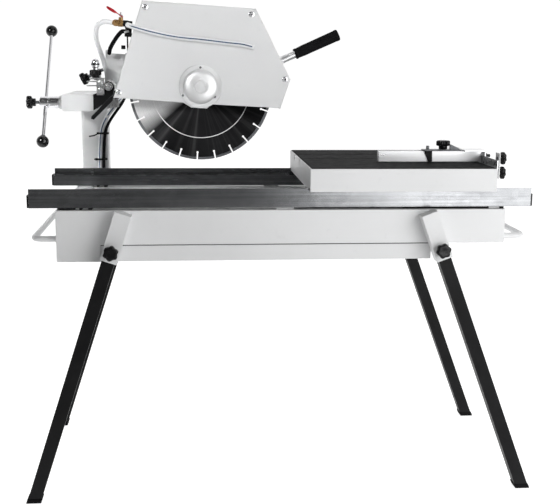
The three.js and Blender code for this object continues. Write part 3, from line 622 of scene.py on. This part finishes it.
def screw(shape, origin, direction, radius, height):
    """A washer with a domed head on it."""
    seat = facing(origin, direction)
    shape.turned([(radius * 1.45, 0), (radius * 1.45, 0.8), (radius * 1.35, 1.1)], seat, 24)
    head = [(1, 0.9 / height), (1, 0.35), (0.86, 0.7), (0.6, 1), (0.5, 1), (0.46, 0.55)]
    shape.turned([(radius * share, height * rise) for share, rise in head], seat, 24)


def bent(points, radius):
    """The line through the points with its corners rounded."""
    steps = 6
    points = [Vector(p) for p in points]
    path = [points[0]]
    for before, corner, after in zip(points, points[1:], points[2:]):
        start = corner + (before - corner).normalized() * radius
        end = corner + (after - corner).normalized() * radius
        for i in range(steps + 1):
            t = i / steps
            path.append(start.lerp(corner, t).lerp(corner.lerp(end, t), t))
    return [*path, points[-1]]


# ---- knobs -----------------------------------------------------------------

LOBES = 6
DEEP_LOBES, SHALLOW_LOBES = 0.26, 0.15
STUD_RADIUS = 4


def knob(name, origin, direction, radius, head, hub, stud, spin=0.0, dip=DEEP_LOBES):
    """A moulded star knob with its flange at the origin, and the threaded stud behind it."""
    place = facing(origin, direction) @ Matrix.Rotation(spin, 4, "Z")
    top = hub + head
    shape = Shape().turned([
        (radius * 0.62, hub - 1), (radius * 0.9, hub), (radius, hub + 2), (radius, top - 3.5),
        (radius * 0.95, top - 1.4), (radius * 0.84, top - 0.3), (radius * 0.66, top),
        (radius * 0.3, top - 0.8),
    ], place, 12 * LOBES, LOBES, dip)
    shape.turned([(radius * 0.56, 0), (radius * 0.6, hub * 0.15), (radius * 0.6, hub)], place)
    piece(f"{name}_head", shape, "black_plastic", name, stands_for=(name,), crease=50)
    steel = Shape().turned([(STUD_RADIUS, -stud), (STUD_RADIUS, 0.5)], place, 16)
    piece(f"{name}_stud", steel, "dark_steel", name)


def boxed_knob(name, direction, head, hub, stud, spin=0.3, swell=1.0, dip=DEEP_LOBES):
    """A knob that faces along an axis, placed by its CAD node's box, with its radius times swell."""
    low, high = layout_box(name)
    direction = Vector(direction)
    centre = (low + high) / 2
    reach = (high - low) / 2
    end = centre + Vector(d * r for d, r in zip(direction, reach))
    side = max(r for d, r in zip(direction, reach) if not d)
    knob(name, end - direction * (head + hub), direction, side * swell, head, hub, stud, spin, dip)


for row, side in (("front", -1), ("rear", 1)):
    for end in ("left", "right"):
        boxed_knob(f"leg_knob_{row}_{end}", (0, side, 0), 13, 9, 3.2, swell=1.08, dip=SHALLOW_LOBES)
boxed_knob("side_rail_knob", (1, 0, 0), 11, 5, 5)
boxed_knob("fence_knob", (1, 0, 0), 11, 5, 5)
boxed_knob("stop_knob", (0, 0, 1), 13, 8, 4, spin=0.05, swell=1.12)
boxed_knob("clamp_knob", (-1, 0, 0), 13, 9, 20)
screw_slope = math.radians(25.6)
screw_axis = Vector((math.cos(screw_slope), 0, math.sin(screw_slope)))
knob("depth_screw", (-469.4, 58, 986.5), -screw_axis, 16.5, 12, 8, 40)
lock_foot = Vector((-449.5, 28, 984.3))
knob("lock_knob", lock_foot, Z, 14.5, 13, 6, 6)

cap = facing(lock_foot + Z * 18, Z)
dome = Shape().turned([(6.5, 0), (6.5, 6), (9.4, 8), (10, 12), (10, 18), (9.4, 21.5), (7.8, 24.6),
                       (5, 27), (1.5, 28)], cap, 40)
piece("lock_knob_dome", dome, "chrome", "lock_knob")
band = Shape().turned([(10.25, 12.6), (10.4, 13.4), (10.4, 15.6), (10.25, 16.4)], cap, 40)
piece("lock_knob_band", band, "black_plastic", "lock_knob")

# ---- frame, rails and handles ----------------------------------------------

BAR_RADIUS = 7
for name, side in (("left", -1), ("right", 1)):
    low, high = layout_box(f"carry_handle_{name}")
    root, far = (high.x, low.x + BAR_RADIUS) if side < 0 else (low.x, high.x - BAR_RADIUS)
    height = (low.z + high.z) / 2
    reach = high.y - BAR_RADIUS
    corners = ((root, -reach), (far, -reach), (far, reach), (root, reach))
    bar = Shape().tube(bent([(x, y, height) for x, y in corners], 26), BAR_RADIUS, 24)
    for end in (-reach, reach):
        seat = facing((root, end, height), (side, 0, 0))
        bar.turned([(11, 0), (10.6, 1.6), (8.6, 3.2), (BAR_RADIUS + 0.2, 5.5)], seat, 24)
    piece(f"carry_bar_{name}", bar, "frame_paint", "frame", stands_for=(f"carry_handle_{name}",))

RAIL_INNER, RAIL_OUTER, RAIL_END = 184.5, 217, 583.6
CAP_THICKNESS = 4.2
rail_caps = Shape()
rail_seats = Shape()
shadow_line = Shape()
for side in (-1, 1):
    y0, y1 = mirrored(side, RAIL_INNER, RAIL_OUTER)
    for end in (-1, 1):
        x0, x1 = mirrored(end, RAIL_END, RAIL_END + CAP_THICKNESS)
        along(rail_caps, rounded(y0 + 0.6, y1 - 0.4, 696.8, 726, 2), x0, x1)
    y0, y1 = mirrored(side, RAIL_INNER + 5.5, RAIL_OUTER - 0.6)
    for x0, x1 in ((-520, -480), (-471, -465), (-451, -442), (277, 483), (510, 519)):
        rail_seats.box((x0, y0, 692), (x1, y1, 696.2))
    # A thin black strip along the tub's seam on both faces: a painted shadow line under the step.
    y0, y1 = mirrored(side, 228.6, 229.7)
    shadow_line.box((-424, y0, 611.2), (344, y1, 612.8))
piece("rail_caps", rail_caps, "black_plastic", "frame", 0.8)
piece("rail_seats", rail_seats, "black_rubber", "frame", 0.5)
piece("tank_shadow_line", shadow_line, "black_rubber", "frame", 0.3)

LEG_HALF = 15
for row in ("front", "rear"):
    for end, side, degrees in (("left", -1, 18), ("right", 1, 20.8)):
        lean = math.radians(degrees)
        half = (LEG_HALF + 0.9) / math.cos(lean)
        name = f"leg_{row}_{end}"
        low, high = layout_box(name)
        edge = low.x if side < 0 else high.x
        foot_x = edge - side * LEG_HALF / math.cos(lean)
        middle = (low.y + high.y) / 2
        rings = []
        for z, grow in ((0.2, 0.2), (1.4, 0.9), (10, 0.9), (11, 0.1)):
            x = foot_x - side * math.tan(lean) * z
            rings.append([(x + a * (half + grow), middle + b * (LEG_HALF + 0.4 + grow), z)
                          for a, b in ((-1, -1), (1, -1), (1, 1), (-1, 1))])
        piece(f"{name}_foot", Shape().rings(rings), "black_rubber", name, 0.8)

# ---- hoses and cables ------------------------------------------------------

HOSE_RADIUS, CABLE_RADIUS, ARM_HOSE_RADIUS, STRIPE_RADIUS = 6, 4, 5, 2.1
FRONT_STRIPE = (0, -4.4, 0)


def length_of(path):
    """A path's length in metres."""
    return sum((b - a).length for a, b in zip(path, path[1:])) * MM


def hose(name, points, radius, look_name, body, place=LAYOUT, stands_for=(), stripe=None, bridge=None):
    """A round hose along a given route.

    With a bridge (a second body), it is baked where it lies and rides on no body. A stripe is the way its
    coloured core lies off centre.
    """
    path = [place @ p for p in smooth_path(points)]
    tube = Shape().tube(path, radius, 20)
    if bridge:
        obj = mesh_object(name, tube, LOOKS[look_name], 60)
        at(*path[0])
        at(*path[-1])
        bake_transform(obj)
    else:
        obj = piece(name, tube, look_name, body, stands_for=stands_for, crease=60)
    at(*path[0])
    length_of(path)
    [at(*p) for p in path]
    if stripe:
        line = Shape().tube([p + Vector(stripe) for p in path[1:-1]], STRIPE_RADIUS, 10)
        core = mesh_object(f"{name}_stripe", line, LOOKS["hose_core"], 60)
        if bridge:
            at(*path[0])
            at(*path[-1])
            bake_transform(core)
        else:
            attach(core, body)


COLUMN_ROUTE = [(-467, 244, 684.3), (-466, 244, 740), (-464, 244, 790), (-460, 244, 832),
                (-453, 243, 857), (-442, 241, 878)]
CABLE_ROUTE = [(-455.5, 244, 684.3), (-455, 244, 740), (-453, 244, 790), (-448, 243, 836),
               (-440, 240, 857), (-430, 236, 874)]
HOSE_JOIN, HOSE_END, CABLE_JOIN = (-394, 222, 938), (-413.7, 154, 932.7), (-386, 219, 945)
HOSE_BRIDGE = [COLUMN_ROUTE[-1], (-431, 239, 893), (-418, 236, 908), (-405, 231, 923), HOSE_JOIN]
HOSE_RETURN = [HOSE_JOIN, (-387, 207, 948), (-389, 190, 949), (-399, 174, 942), (-408, 162, 935),
               HOSE_END]
CABLE_BRIDGE = [CABLE_ROUTE[-1], (-417, 235, 892), (-403, 232, 911), (-393, 226, 929), CABLE_JOIN]
CABLE_RETURN = [CABLE_JOIN, (-374, 209, 963), (-350, 196, 986), (-316, 180, 1008),
                (-276, 160, 1026), (-231, 140, 1037)]
ARM_HOSE_ROUTE = [(-362, -8, 1089), (-371, -4, 1094.5), (-380, 2, 1095.5), (-389, 10, 1088.5),
                  (-403, 24, 1071), (-413, 38, 1055), (-417, 52, 1043)]
SPRAY_ROUTE = [(46, -38.3, 149), (46.5, -44, 149), (61, -52, 145), (99, -52, 137.3),
               (135, -52, 131.7), (170, -52, 128.3), (218, -52, 126.9), (290, -52, 123.4),
               (321, -52, 122.1), (348, -52, 117)]
FEED_ROUTE = [(7.5, -14, 153), (-1, -13, 154.5), (-14, -9, 154), (-28, 2, 146), (-34, 20, 127),
              (-33, 40, 106), (-27, 60, 85), (-21, 82, 66), (-18, 108, 48), (-14, 132, 26),
              (-6, 148, -2), (6, 154, -30)]
hose("column_hose_run", COLUMN_ROUTE, HOSE_RADIUS, "clear_hose", "frame", stands_for=("column_hose",),
     stripe=FRONT_STRIPE)
hose("column_cable_run", CABLE_ROUTE, CABLE_RADIUS, "black_rubber", "frame",
     stands_for=("column_cable",))
hose("spray_hose_run", SPRAY_ROUTE, HOSE_RADIUS, "clear_hose", "head", HEAD, ("spray_hose",),
     stripe=FRONT_STRIPE)
hose("feed_hose_run", FEED_ROUTE, HOSE_RADIUS, "clear_hose", "head", HEAD, ("feed_hose",))
hose("hose_bridge", HOSE_BRIDGE, HOSE_RADIUS, "clear_hose", "frame", stripe=FRONT_STRIPE, bridge="tilt")
hose("hose_return", HOSE_RETURN, HOSE_RADIUS, "clear_hose", "tilt", bridge="head")
hose("cable_bridge", CABLE_BRIDGE, CABLE_RADIUS, "black_rubber", "frame", bridge="tilt")
hose("cable_return", CABLE_RETURN, CABLE_RADIUS, "black_rubber", "tilt", bridge="head")
hose("arm_hose", ARM_HOSE_ROUTE, ARM_HOSE_RADIUS, "black_rubber", "head")

elbow = Shape().ball(8.4, facing(HOSE_END, (0.6, 0.6, 0.2)))
for branch in ((-0.42, -0.21, 1), (4.7, 7, 1.3)):
    elbow.turned([(8.4, 0), (8.4, 9), (7.6, 10)], facing(HOSE_END, branch), 28)
piece("hose_elbow", elbow, "black_plastic", "head")

HOSE_Y = COLUMN_ROUTE[0][1]
TIE_REACH, TIE_DEPTH = 15, 7


def cable_tie(name, height, centre, tail):
    """A band round the hose and the cable, with its lock and its cut tail."""
    band = Shape()
    for rise in (-1.2, 1.2):
        loop = [(centre + TIE_REACH * math.cos(a), HOSE_Y + TIE_DEPTH * math.sin(a), height + rise)
                for a in turns(32)]
        for start, stop in zip(loop, [*loop[1:], loop[0]]):
            band.tube([start, stop], 1.3, 8)
    band.box((centre - 16.5, 235.8, height - 3), (centre - 10.5, 240, height + 3))
    band.tube([(centre - 12, 238, height), *tail], 1.9, 8)
    piece(name, band, "black_plastic", "frame")


cable_tie("cable_tie_upper", 832, -454.6, [(-478, 238, 826), (-492, 238, 823.4)])
cable_tie("cable_tie_lower", 761.6, -460.4, [(-480, 238, 761.8)])

# ---- bevel clamp and T-bar -------------------------------------------------

sleeve = Shape().turned([(13, 0), (15, 1.2), (15, 20), (14.2, 21), (14.2, 23), (15, 24), (15, 46),
                         (13.6, 47.4)], facing((-590.8, TILT_Y, TILT_Z), X), 48)
piece("clamp_sleeve", sleeve, "chrome", "clamp", stands_for=("clamp_hub",), crease=30)
bar_lean = math.radians(40)
bar_way = Vector((0, math.sin(bar_lean), math.cos(bar_lean)))
bar_origin = Vector((-577, TILT_Y, TILT_Z))
rod = Shape().tube([bar_origin + bar_way * d for d in (-108, 220)], 4.5, 24)
piece("t_bar_rod", rod, "chrome", "t_bar", stands_for=("t_bar",))
balls = Shape()
for distance, way in ((-119, 1), (232, -1)):
    seat = facing(bar_origin + bar_way * distance, bar_way * way)
    balls.ball(15, seat, 40, -1, 0.9)
    balls.turned([(7, 12.6), (6.6, 15.6), (5.8, 16.4)], seat, 32)
piece("t_bar_balls", balls, "gloss_plastic", "t_bar", crease=35)

# ---- blade and hub ---------------------------------------------------------

SEGMENTS = 24
CORE_RADIUS, RIM_RADIUS = 169, 175
SLOT_DEPTH, SLOT_WIDTH, KEYHOLE_RADIUS = 12, 3.2, 2.6


def blade_outline(radius, depth, width, key):
    """A slotted disc, with a round hole at the root of every slot."""
    outline = []
    for middle in turns(SEGMENTS, -math.pi / 2):
        across = Vector((-math.sin(middle), math.cos(middle)))
        outward = Vector((math.cos(middle), math.sin(middle)))
        root = outward * (radius - depth)
        neck = math.asin(width / 2 / key)
        outline.append(outward * radius - across * width / 2)
        for i in range(9):
            angle = neck + (2 * math.pi - 2 * neck) * i / 8
            outline.append(root + outward * key * math.cos(angle) - across * key * math.sin(angle))
        outline.append(outward * radius + across * width / 2)
        for i in range(1, 4):
            angle = middle + 2 * math.pi / SEGMENTS * i / 4
            outline.append(Vector((math.cos(angle), math.sin(angle))) * radius)
    return [tuple(p) for p in outline]


core_outline = blade_outline(CORE_RADIUS, SLOT_DEPTH, SLOT_WIDTH, KEYHOLE_RADIUS)
disc = upright(Shape(), core_outline, -1.1, 1.1, ARBOR)
piece("blade_core", disc, "blade_steel", "spindle", stands_for=("blade",))
rim = Shape()
half_turn = math.pi / SEGMENTS - SLOT_WIDTH / (CORE_RADIUS + RIM_RADIUS)
for middle in turns(SEGMENTS, -math.pi / 2 + math.pi / SEGMENTS):
    arc = [middle - half_turn + 2 * half_turn * i / 8 for i in range(9)]
    inner, outer = CORE_RADIUS - 0.4, RIM_RADIUS
    outline = [(inner * math.cos(a), inner * math.sin(a)) for a in arc]
    outline += [(outer * math.cos(a), outer * math.sin(a)) for a in reversed(arc)]
    upright(rim, outline, -1.5, 1.5, ARBOR)
piece("blade_segments", rim, "dark_steel", "spindle", 0.25)

GUARD_FRONT = -45.1
outline = [(78.4, 206.8), (347.3, 206.8), (440.6, 47), (421, -23.8), (253, -25), (243, -35.6),
           (205, -35.6), (185, -25), (19, -23.8)]
cover = upright(Shape(), outline, GUARD_FRONT, GUARD_FRONT + 2.7, HEAD)
piece("guard_cover_plate", cover, "frame_paint", "head", 0.7, stands_for=("guard_cover",))
hub_seat = HEAD @ facing((225, GUARD_FRONT - 0.3, 16), FRONTWARD)
ring = Shape().turned([(51.6, 0), (51.6, 2.4), (51, 3), (41.6, 3), (41.2, 0)], hub_seat, 72)
piece("hub_cover_flange", ring, "turned_aluminium", "head", stands_for=("hub_cover",), crease=25)
hub = Shape().turned([(41.4, 0.2), (41.4, 4.6), (40.8, 6.4), (38.6, 8.4), (33, 11.2), (26, 13.3),
                      (20, 14.5), (17.4, 14.8), (16.6, 14.8), (16.2, 14.4), (15.4, 14.4), (15, 15.2),
                      (14.2, 16), (11, 16), (10.4, 15.6), (1, 15.6)], hub_seat, 72)
piece("hub_cover_dome", hub, "turned_aluminium", "head", crease=25)
screws = Shape()
for x, z in ((-192.4, 1011.6), (-235, 944.8), (-157.8, 941.6)):
    screw(screws, (x, GUARD_FRONT - 3.2, z), FRONTWARD, 1.9, 2)
piece("hub_screws", screws, "dark_steel", "head")
bolts = Shape()
for x, z in ((-322.4, 1151.1), (-69.7, 1137.2), (12.5, 984.6), (-389.2, 950.9)):
    screw(bolts, (x, GUARD_FRONT, z), FRONTWARD, 4.6, 4.4)
piece("guard_bolts", bolts, "chrome", "head")

# ---- handle, water valve and lever -----------------------------------------

handle_lean = math.radians(27.5)
handle_way = (math.cos(handle_lean), 0, math.sin(handle_lean))
handle_root = HEAD @ facing((415.5, 0, 88.6), handle_way, (0, 1, 0))
GRIP_FOOT = 42
tube = Shape().turned([(9.5, -4), (9.5, GRIP_FOOT + 1)], handle_root, 40)
tube.turned([(15.6, -2), (15.6, 3.6), (13.4, 5), (10.4, 6.6), (9.6, 8.5)], handle_root, 40)
piece("handle_stem", tube, "fence_aluminium", "head", stands_for=("handle_tube",))
rings = []
for height, width, rise in ((0.3, 12.6, 12.6), (1.5, 13.5, 13.5), (5, 13.6, 13.6), (7, 12.6, 12.6),
                            (9, 12.9, 12.9), (25, 13.4, 13.8), (43, 12.8, 13.6), (65, 13.2, 13.8),
                            (95, 13.4, 14), (109, 13.6, 14), (110.4, 14.4, 14.6), (115, 14.4, 14.6),
                            (117, 13.6, 13.8), (118, 12, 12.2)):
    ring = []
    for a in turns(40):
        flat = 1 + 0.03 * math.cos(4 * a)
        ring.append((rise * math.cos(a) / flat, width * math.sin(a) / flat, GRIP_FOOT + height))
    rings.append(ring)
grip = Shape().rings(rings, handle_root)
piece("handle_sleeve", grip, "black_rubber", "head", stands_for=("handle_grip",), crease=50)

VALVE_X, VALVE_Y = 27, -14
barb = HEAD @ facing((0, VALVE_Y, 153), X)
valve = Shape().turned([(4.4, 2), (5, 9), (6.6, 9.5), (6.6, 12)], barb, 24)
valve.turned([(8.2, 11.5), (9, 12.6), (9, 19.4), (8.2, 20.4)], barb, 6)
valve.turned([(7.4, 20), (8.6, 21.4), (8.6, 31.4), (7.6, 33)], barb, 36, 18, 0.06)
valve.turned([(5.4, 0), (5.4, 6), (4.4, 7)], HEAD @ facing((VALVE_X, VALVE_Y, 160), Z), 24)
piece("valve_body", valve, "brass", "head", 0.4, stands_for=("water_valve",), crease=30)
stem = Shape().turned([(2.4, 0), (2.4, 14)], HEAD @ facing((VALVE_X, VALVE_Y, 165), Z), 16)
stem.turned([(4.6, 0), (4.6, 3.4)], HEAD @ facing((VALVE_X, VALVE_Y, 169.6), Z), 6)
piece("valve_stem", stem, "bright_steel", "valve_lever", 0.2)
lever = HEAD @ Matrix.Translation((VALVE_X, VALVE_Y, 168.5)) @ Matrix.Rotation(0.5, 4, "Y")
rings = []
for x, width, low_z, high_z in ((5, 3.6, 0.4, 3), (3, 5, 0.2, 3.2), (-4, 4.6, 0.2, 3.2),
                                (-9, 2.6, 0.8, 3), (-13, 2.8, 0.4, 3.6), (-17, 4.2, -1.4, 4.6),
                                (-24, 5.2, -2.2, 5.2), (-33, 5.6, -2.2, 4.8), (-38, 5, -1.2, 4),
                                (-40.4, 3.4, 0.4, 3)):
    top = width * 0.8
    rings.append([(x, -width, low_z), (x, width, low_z), (x, top, high_z), (x, -top, high_z)])
paddle = Shape().rings(rings, lever)
piece("valve_paddle", paddle, "red_paint", "valve_lever", 0.8, stands_for=("valve_lever",), crease=25)

tee = Shape()
tee.turned([(8.6, 0), (9, 1.4), (9, 8), (8, 9.4), (8, 20), (9, 21.4), (9, 36), (8.4, 37.4)],
           HEAD @ facing((46, VALVE_Y, 122), Z), 28)
tee.turned([(8, 0), (8, 8), (7.4, 9), (7.4, 25)], HEAD @ facing((46, -12, 149), FRONTWARD), 28)
tee.turned([(7.6, 0), (7.6, 12)], HEAD @ facing((33, VALVE_Y, 153), X), 24)
piece("hose_tee", tee, "black_plastic", "head", 0.4, crease=30)
clamp_seat = HEAD @ facing((45, VALVE_Y, 132), (-0.3, 0, 1))
clamp = Shape().turned([(8.6, 0), (8.6, 5)], clamp_seat, 32)
clamp.box((-15, -4, -1), (-7, 4, 6), clamp_seat)
piece("tee_clamp", clamp, "bright_steel", "head", 0.6)

# ---- small parts round the pivot -------------------------------------------

outline = [(-428, 906), (-396, 911.5), (-396.5, 931), (-414, 931), (-424, 921)]
piece("pivot_plate", upright(Shape(), outline, 60, 64), "bright_steel", "tilt", 0.8)
pivot_seat = facing((PIVOT_X, 17, PIVOT_Z), FRONTWARD)
pivot = Shape().turned([(9.8, 0), (9.8, 1.4), (9.2, 2)], pivot_seat, 40)
pivot.turned([(6.6, 1.8), (7, 2.6), (7, 5.6), (6, 6.8)], pivot_seat, 6)
piece("pivot_bolt", pivot, "bright_steel", "tilt", 0.4)
strip = Shape().box((-14, 71, 3), (-11.2, 103, 88), HEAD)
piece("arm_flange", strip, "frame_paint", "head", 0.6)
clip = Shape().box((-382.4, -14, 1053), (-372.6, -4, 1062.2))
clip.box((-369, -13, 1047), (-365.6, -5, 1086))
piece("hose_clip", clip, "black_plastic", "head", 0.8)
stop_screws = Shape()
for z in (955, 972):
    screw(stop_screws, (-438, 19, z), FRONTWARD, 4, 3.6)
piece("stop_screws", stop_screws, "bright_steel", "tilt")
beam_cap = Shape().prism(rounded(-532, -461, 905.5, 939.5, 4), -314.5, -311.8, UPRIGHT)
piece("beam_cap", beam_cap, "black_plastic", "frame", 0.8)

# ---- motor, pump and boxes -------------------------------------------------

shaft = ARBOR @ facing((0, 0, 0), Y)
motor = Shape().turned([(73, 50.7), (74, 51.7), (74, 69), (73, 70), (64, 72), (64, 222), (66, 226),
                        (74, 228), (74, 270), (71, 277), (62, 280), (20, 280)], shaft, 56)
UNDER_TERMINAL_BOX = 0.86
for angle in turns(30):
    if math.sin(angle) <= UNDER_TERMINAL_BOX:
        fin = shaft @ Matrix.Rotation(angle - math.pi / 2, 4, "Z")
        motor.box((-1.1, 62, 76), (1.1, 74.6, 222), fin)
piece("motor_case", motor, "motor_paint", "head", 0.8, stands_for=("motor",), crease=30)
terminal = Shape().prism(rounded(-37, 37, 96, 184, 8), 52, 86, ARBOR)
terminal.prism(rounded(-38, 38, 95, 185, 9), 87, 97, ARBOR)
piece("terminal_box", terminal, "black_plastic", "head", 1.2)
grille = Shape()
for radius in range(20, 61, 10):
    inner, outer = radius - 2, radius + 2
    grille.turned([(inner, 279), (inner, 281.4), (outer, 281.4), (outer, 279)], shaft, 48)
piece("fan_grille", grille, "dark_steel", "head")

low, high = layout_box("junction_box")
box_shape = Shape().prism(rounded(low.x, high.x, low.z, high.z, 4), -high.y, -low.y, UPRIGHT)
piece("junction_box_case", box_shape, "black_plastic", "frame", 0.8, stands_for=("junction_box",))
for name, x, radius in (("hose", -468, 8.2), ("cable", -455, 6.4)):
    seat = facing((x, HOSE_Y, high.z - 0.3), Z)
    gland = Shape().turned([(radius, 0), (radius, 4)], seat, 6)
    gland.turned([(radius * 0.86, 3.6), (radius * 0.8, 7)], seat, 24)
    piece(f"{name}_gland", gland, "black_plastic", "frame", 0.5)

PUMP_X, PUMP_Y = -465, 145
pump_seat = facing((PUMP_X, PUMP_Y, 0), Z)
pump = Shape().turned([(31, 576.8), (32, 578), (32, 640), (29, 646), (23, 650), (22, 652), (22, 676),
                       (20, 679)], pump_seat, 48)
for z in range(586, 634, 8):
    pump.turned([(32, z), (33, z + 1), (33, z + 4), (32, z + 5)], pump_seat, 48)
pump.tube([(PUMP_X, PUMP_Y, 664), (PUMP_X, 229, 664)], HOSE_RADIUS, 20)
piece("pump_case", pump, "black_plastic", "frame", stands_for=("water_pump",), crease=30)

for row, side in (("front", -1), ("rear", 1)):
    for end in ("left", "right"):
        name = f"roller_{row}_{end}"
        low, high = layout_box(name)
        half_profile = [(6, 10), (9, 9.6), (9.6, 7), (16, 7), (17, 10), (19.2, 10), (20, 9)]
        profile = [(radius, -height) for radius, height in half_profile] + half_profile[::-1]
        wheel = Shape().turned(profile, facing((low + high) / 2, (0, side, 0)), 48)
        piece(f"{name}_wheel", wheel, "black_plastic", name, stands_for=(name,), crease=30)

# ---- fence and length stop -------------------------------------------------

front, back, foot, top, groove = -91, -73, 789, 815, 809
section = [(front, foot), (back, foot), (back, top), (-78, top), (-78, groove), (-86, groove),
           (-86, top), (front, top)]
bar = along(Shape(), section, 240, 496.9)
bar.box((450, -108, 814.6), (503.5, -62, 819))
bar.box((500.5, -108, 791), (503.5, -62, 816))
piece("fence_bar", bar, "fence_aluminium", "fence", 0.5, stands_for=("fence",))
lock = Shape().turned([(6.2, 0), (6.6, 1), (6.6, 5), (4, 6), (4, 13), (3.4, 13.6)],
                      facing((502.5, -100, 805), X), 24, 6, 0.1)
piece("fence_screw", lock, "black_plastic", "fence")
outline = [(362.7, 789.8), (372.4, 789.8), (371.5, 815.2), (353.5, 815.2), (354.6, 811), (357, 806),
           (360, 800.5), (362, 795)]
plate = upright(Shape(), outline, -97, -91.4)
piece("stop_plate", plate, "black_paint", "stop", 0.5)
stop = Shape().prism(rounded(350, 446, -97, -68, 4), 815.4, 818.6)
upright(stop, [(418, 818.4), (442, 818.4), (441.6, 821), (421, 831), (418, 831)], -90, -82)
stop.turned([(4, 0), (4, 9.6), (3.4, 10.4)], facing((364, -80, 817), Z), 24)
for x0, x1 in ((352, 396), (408, 440)):
    stop.box((x0, -85, 811.6), (x1, -79, 815.6))
piece("stop_body", stop, "dark_steel", "stop", 0.6, stands_for=("stop_block",))

guide = Shape().box((500.4, -221.6, 762.4), (503.1, -192.4, 821.6))
piece("guide_plate", guide, "frame_paint", "table", 0.6)
rail = Shape().box((497.3, -218.6, 772.3), (500.1, 224.6, 805.2))
for y0, y1 in ((-212.6, -185.4), (191.4, 218.6)):
    rail.box((494.4, y0, 772.4), (498, y1, 781.6))
piece("side_rail_bar", rail, "bright_steel", "table", 0.5, stands_for=("side_rail",))

# ---- finish ----------------------------------------------------------------

add_camera()
add_studio()
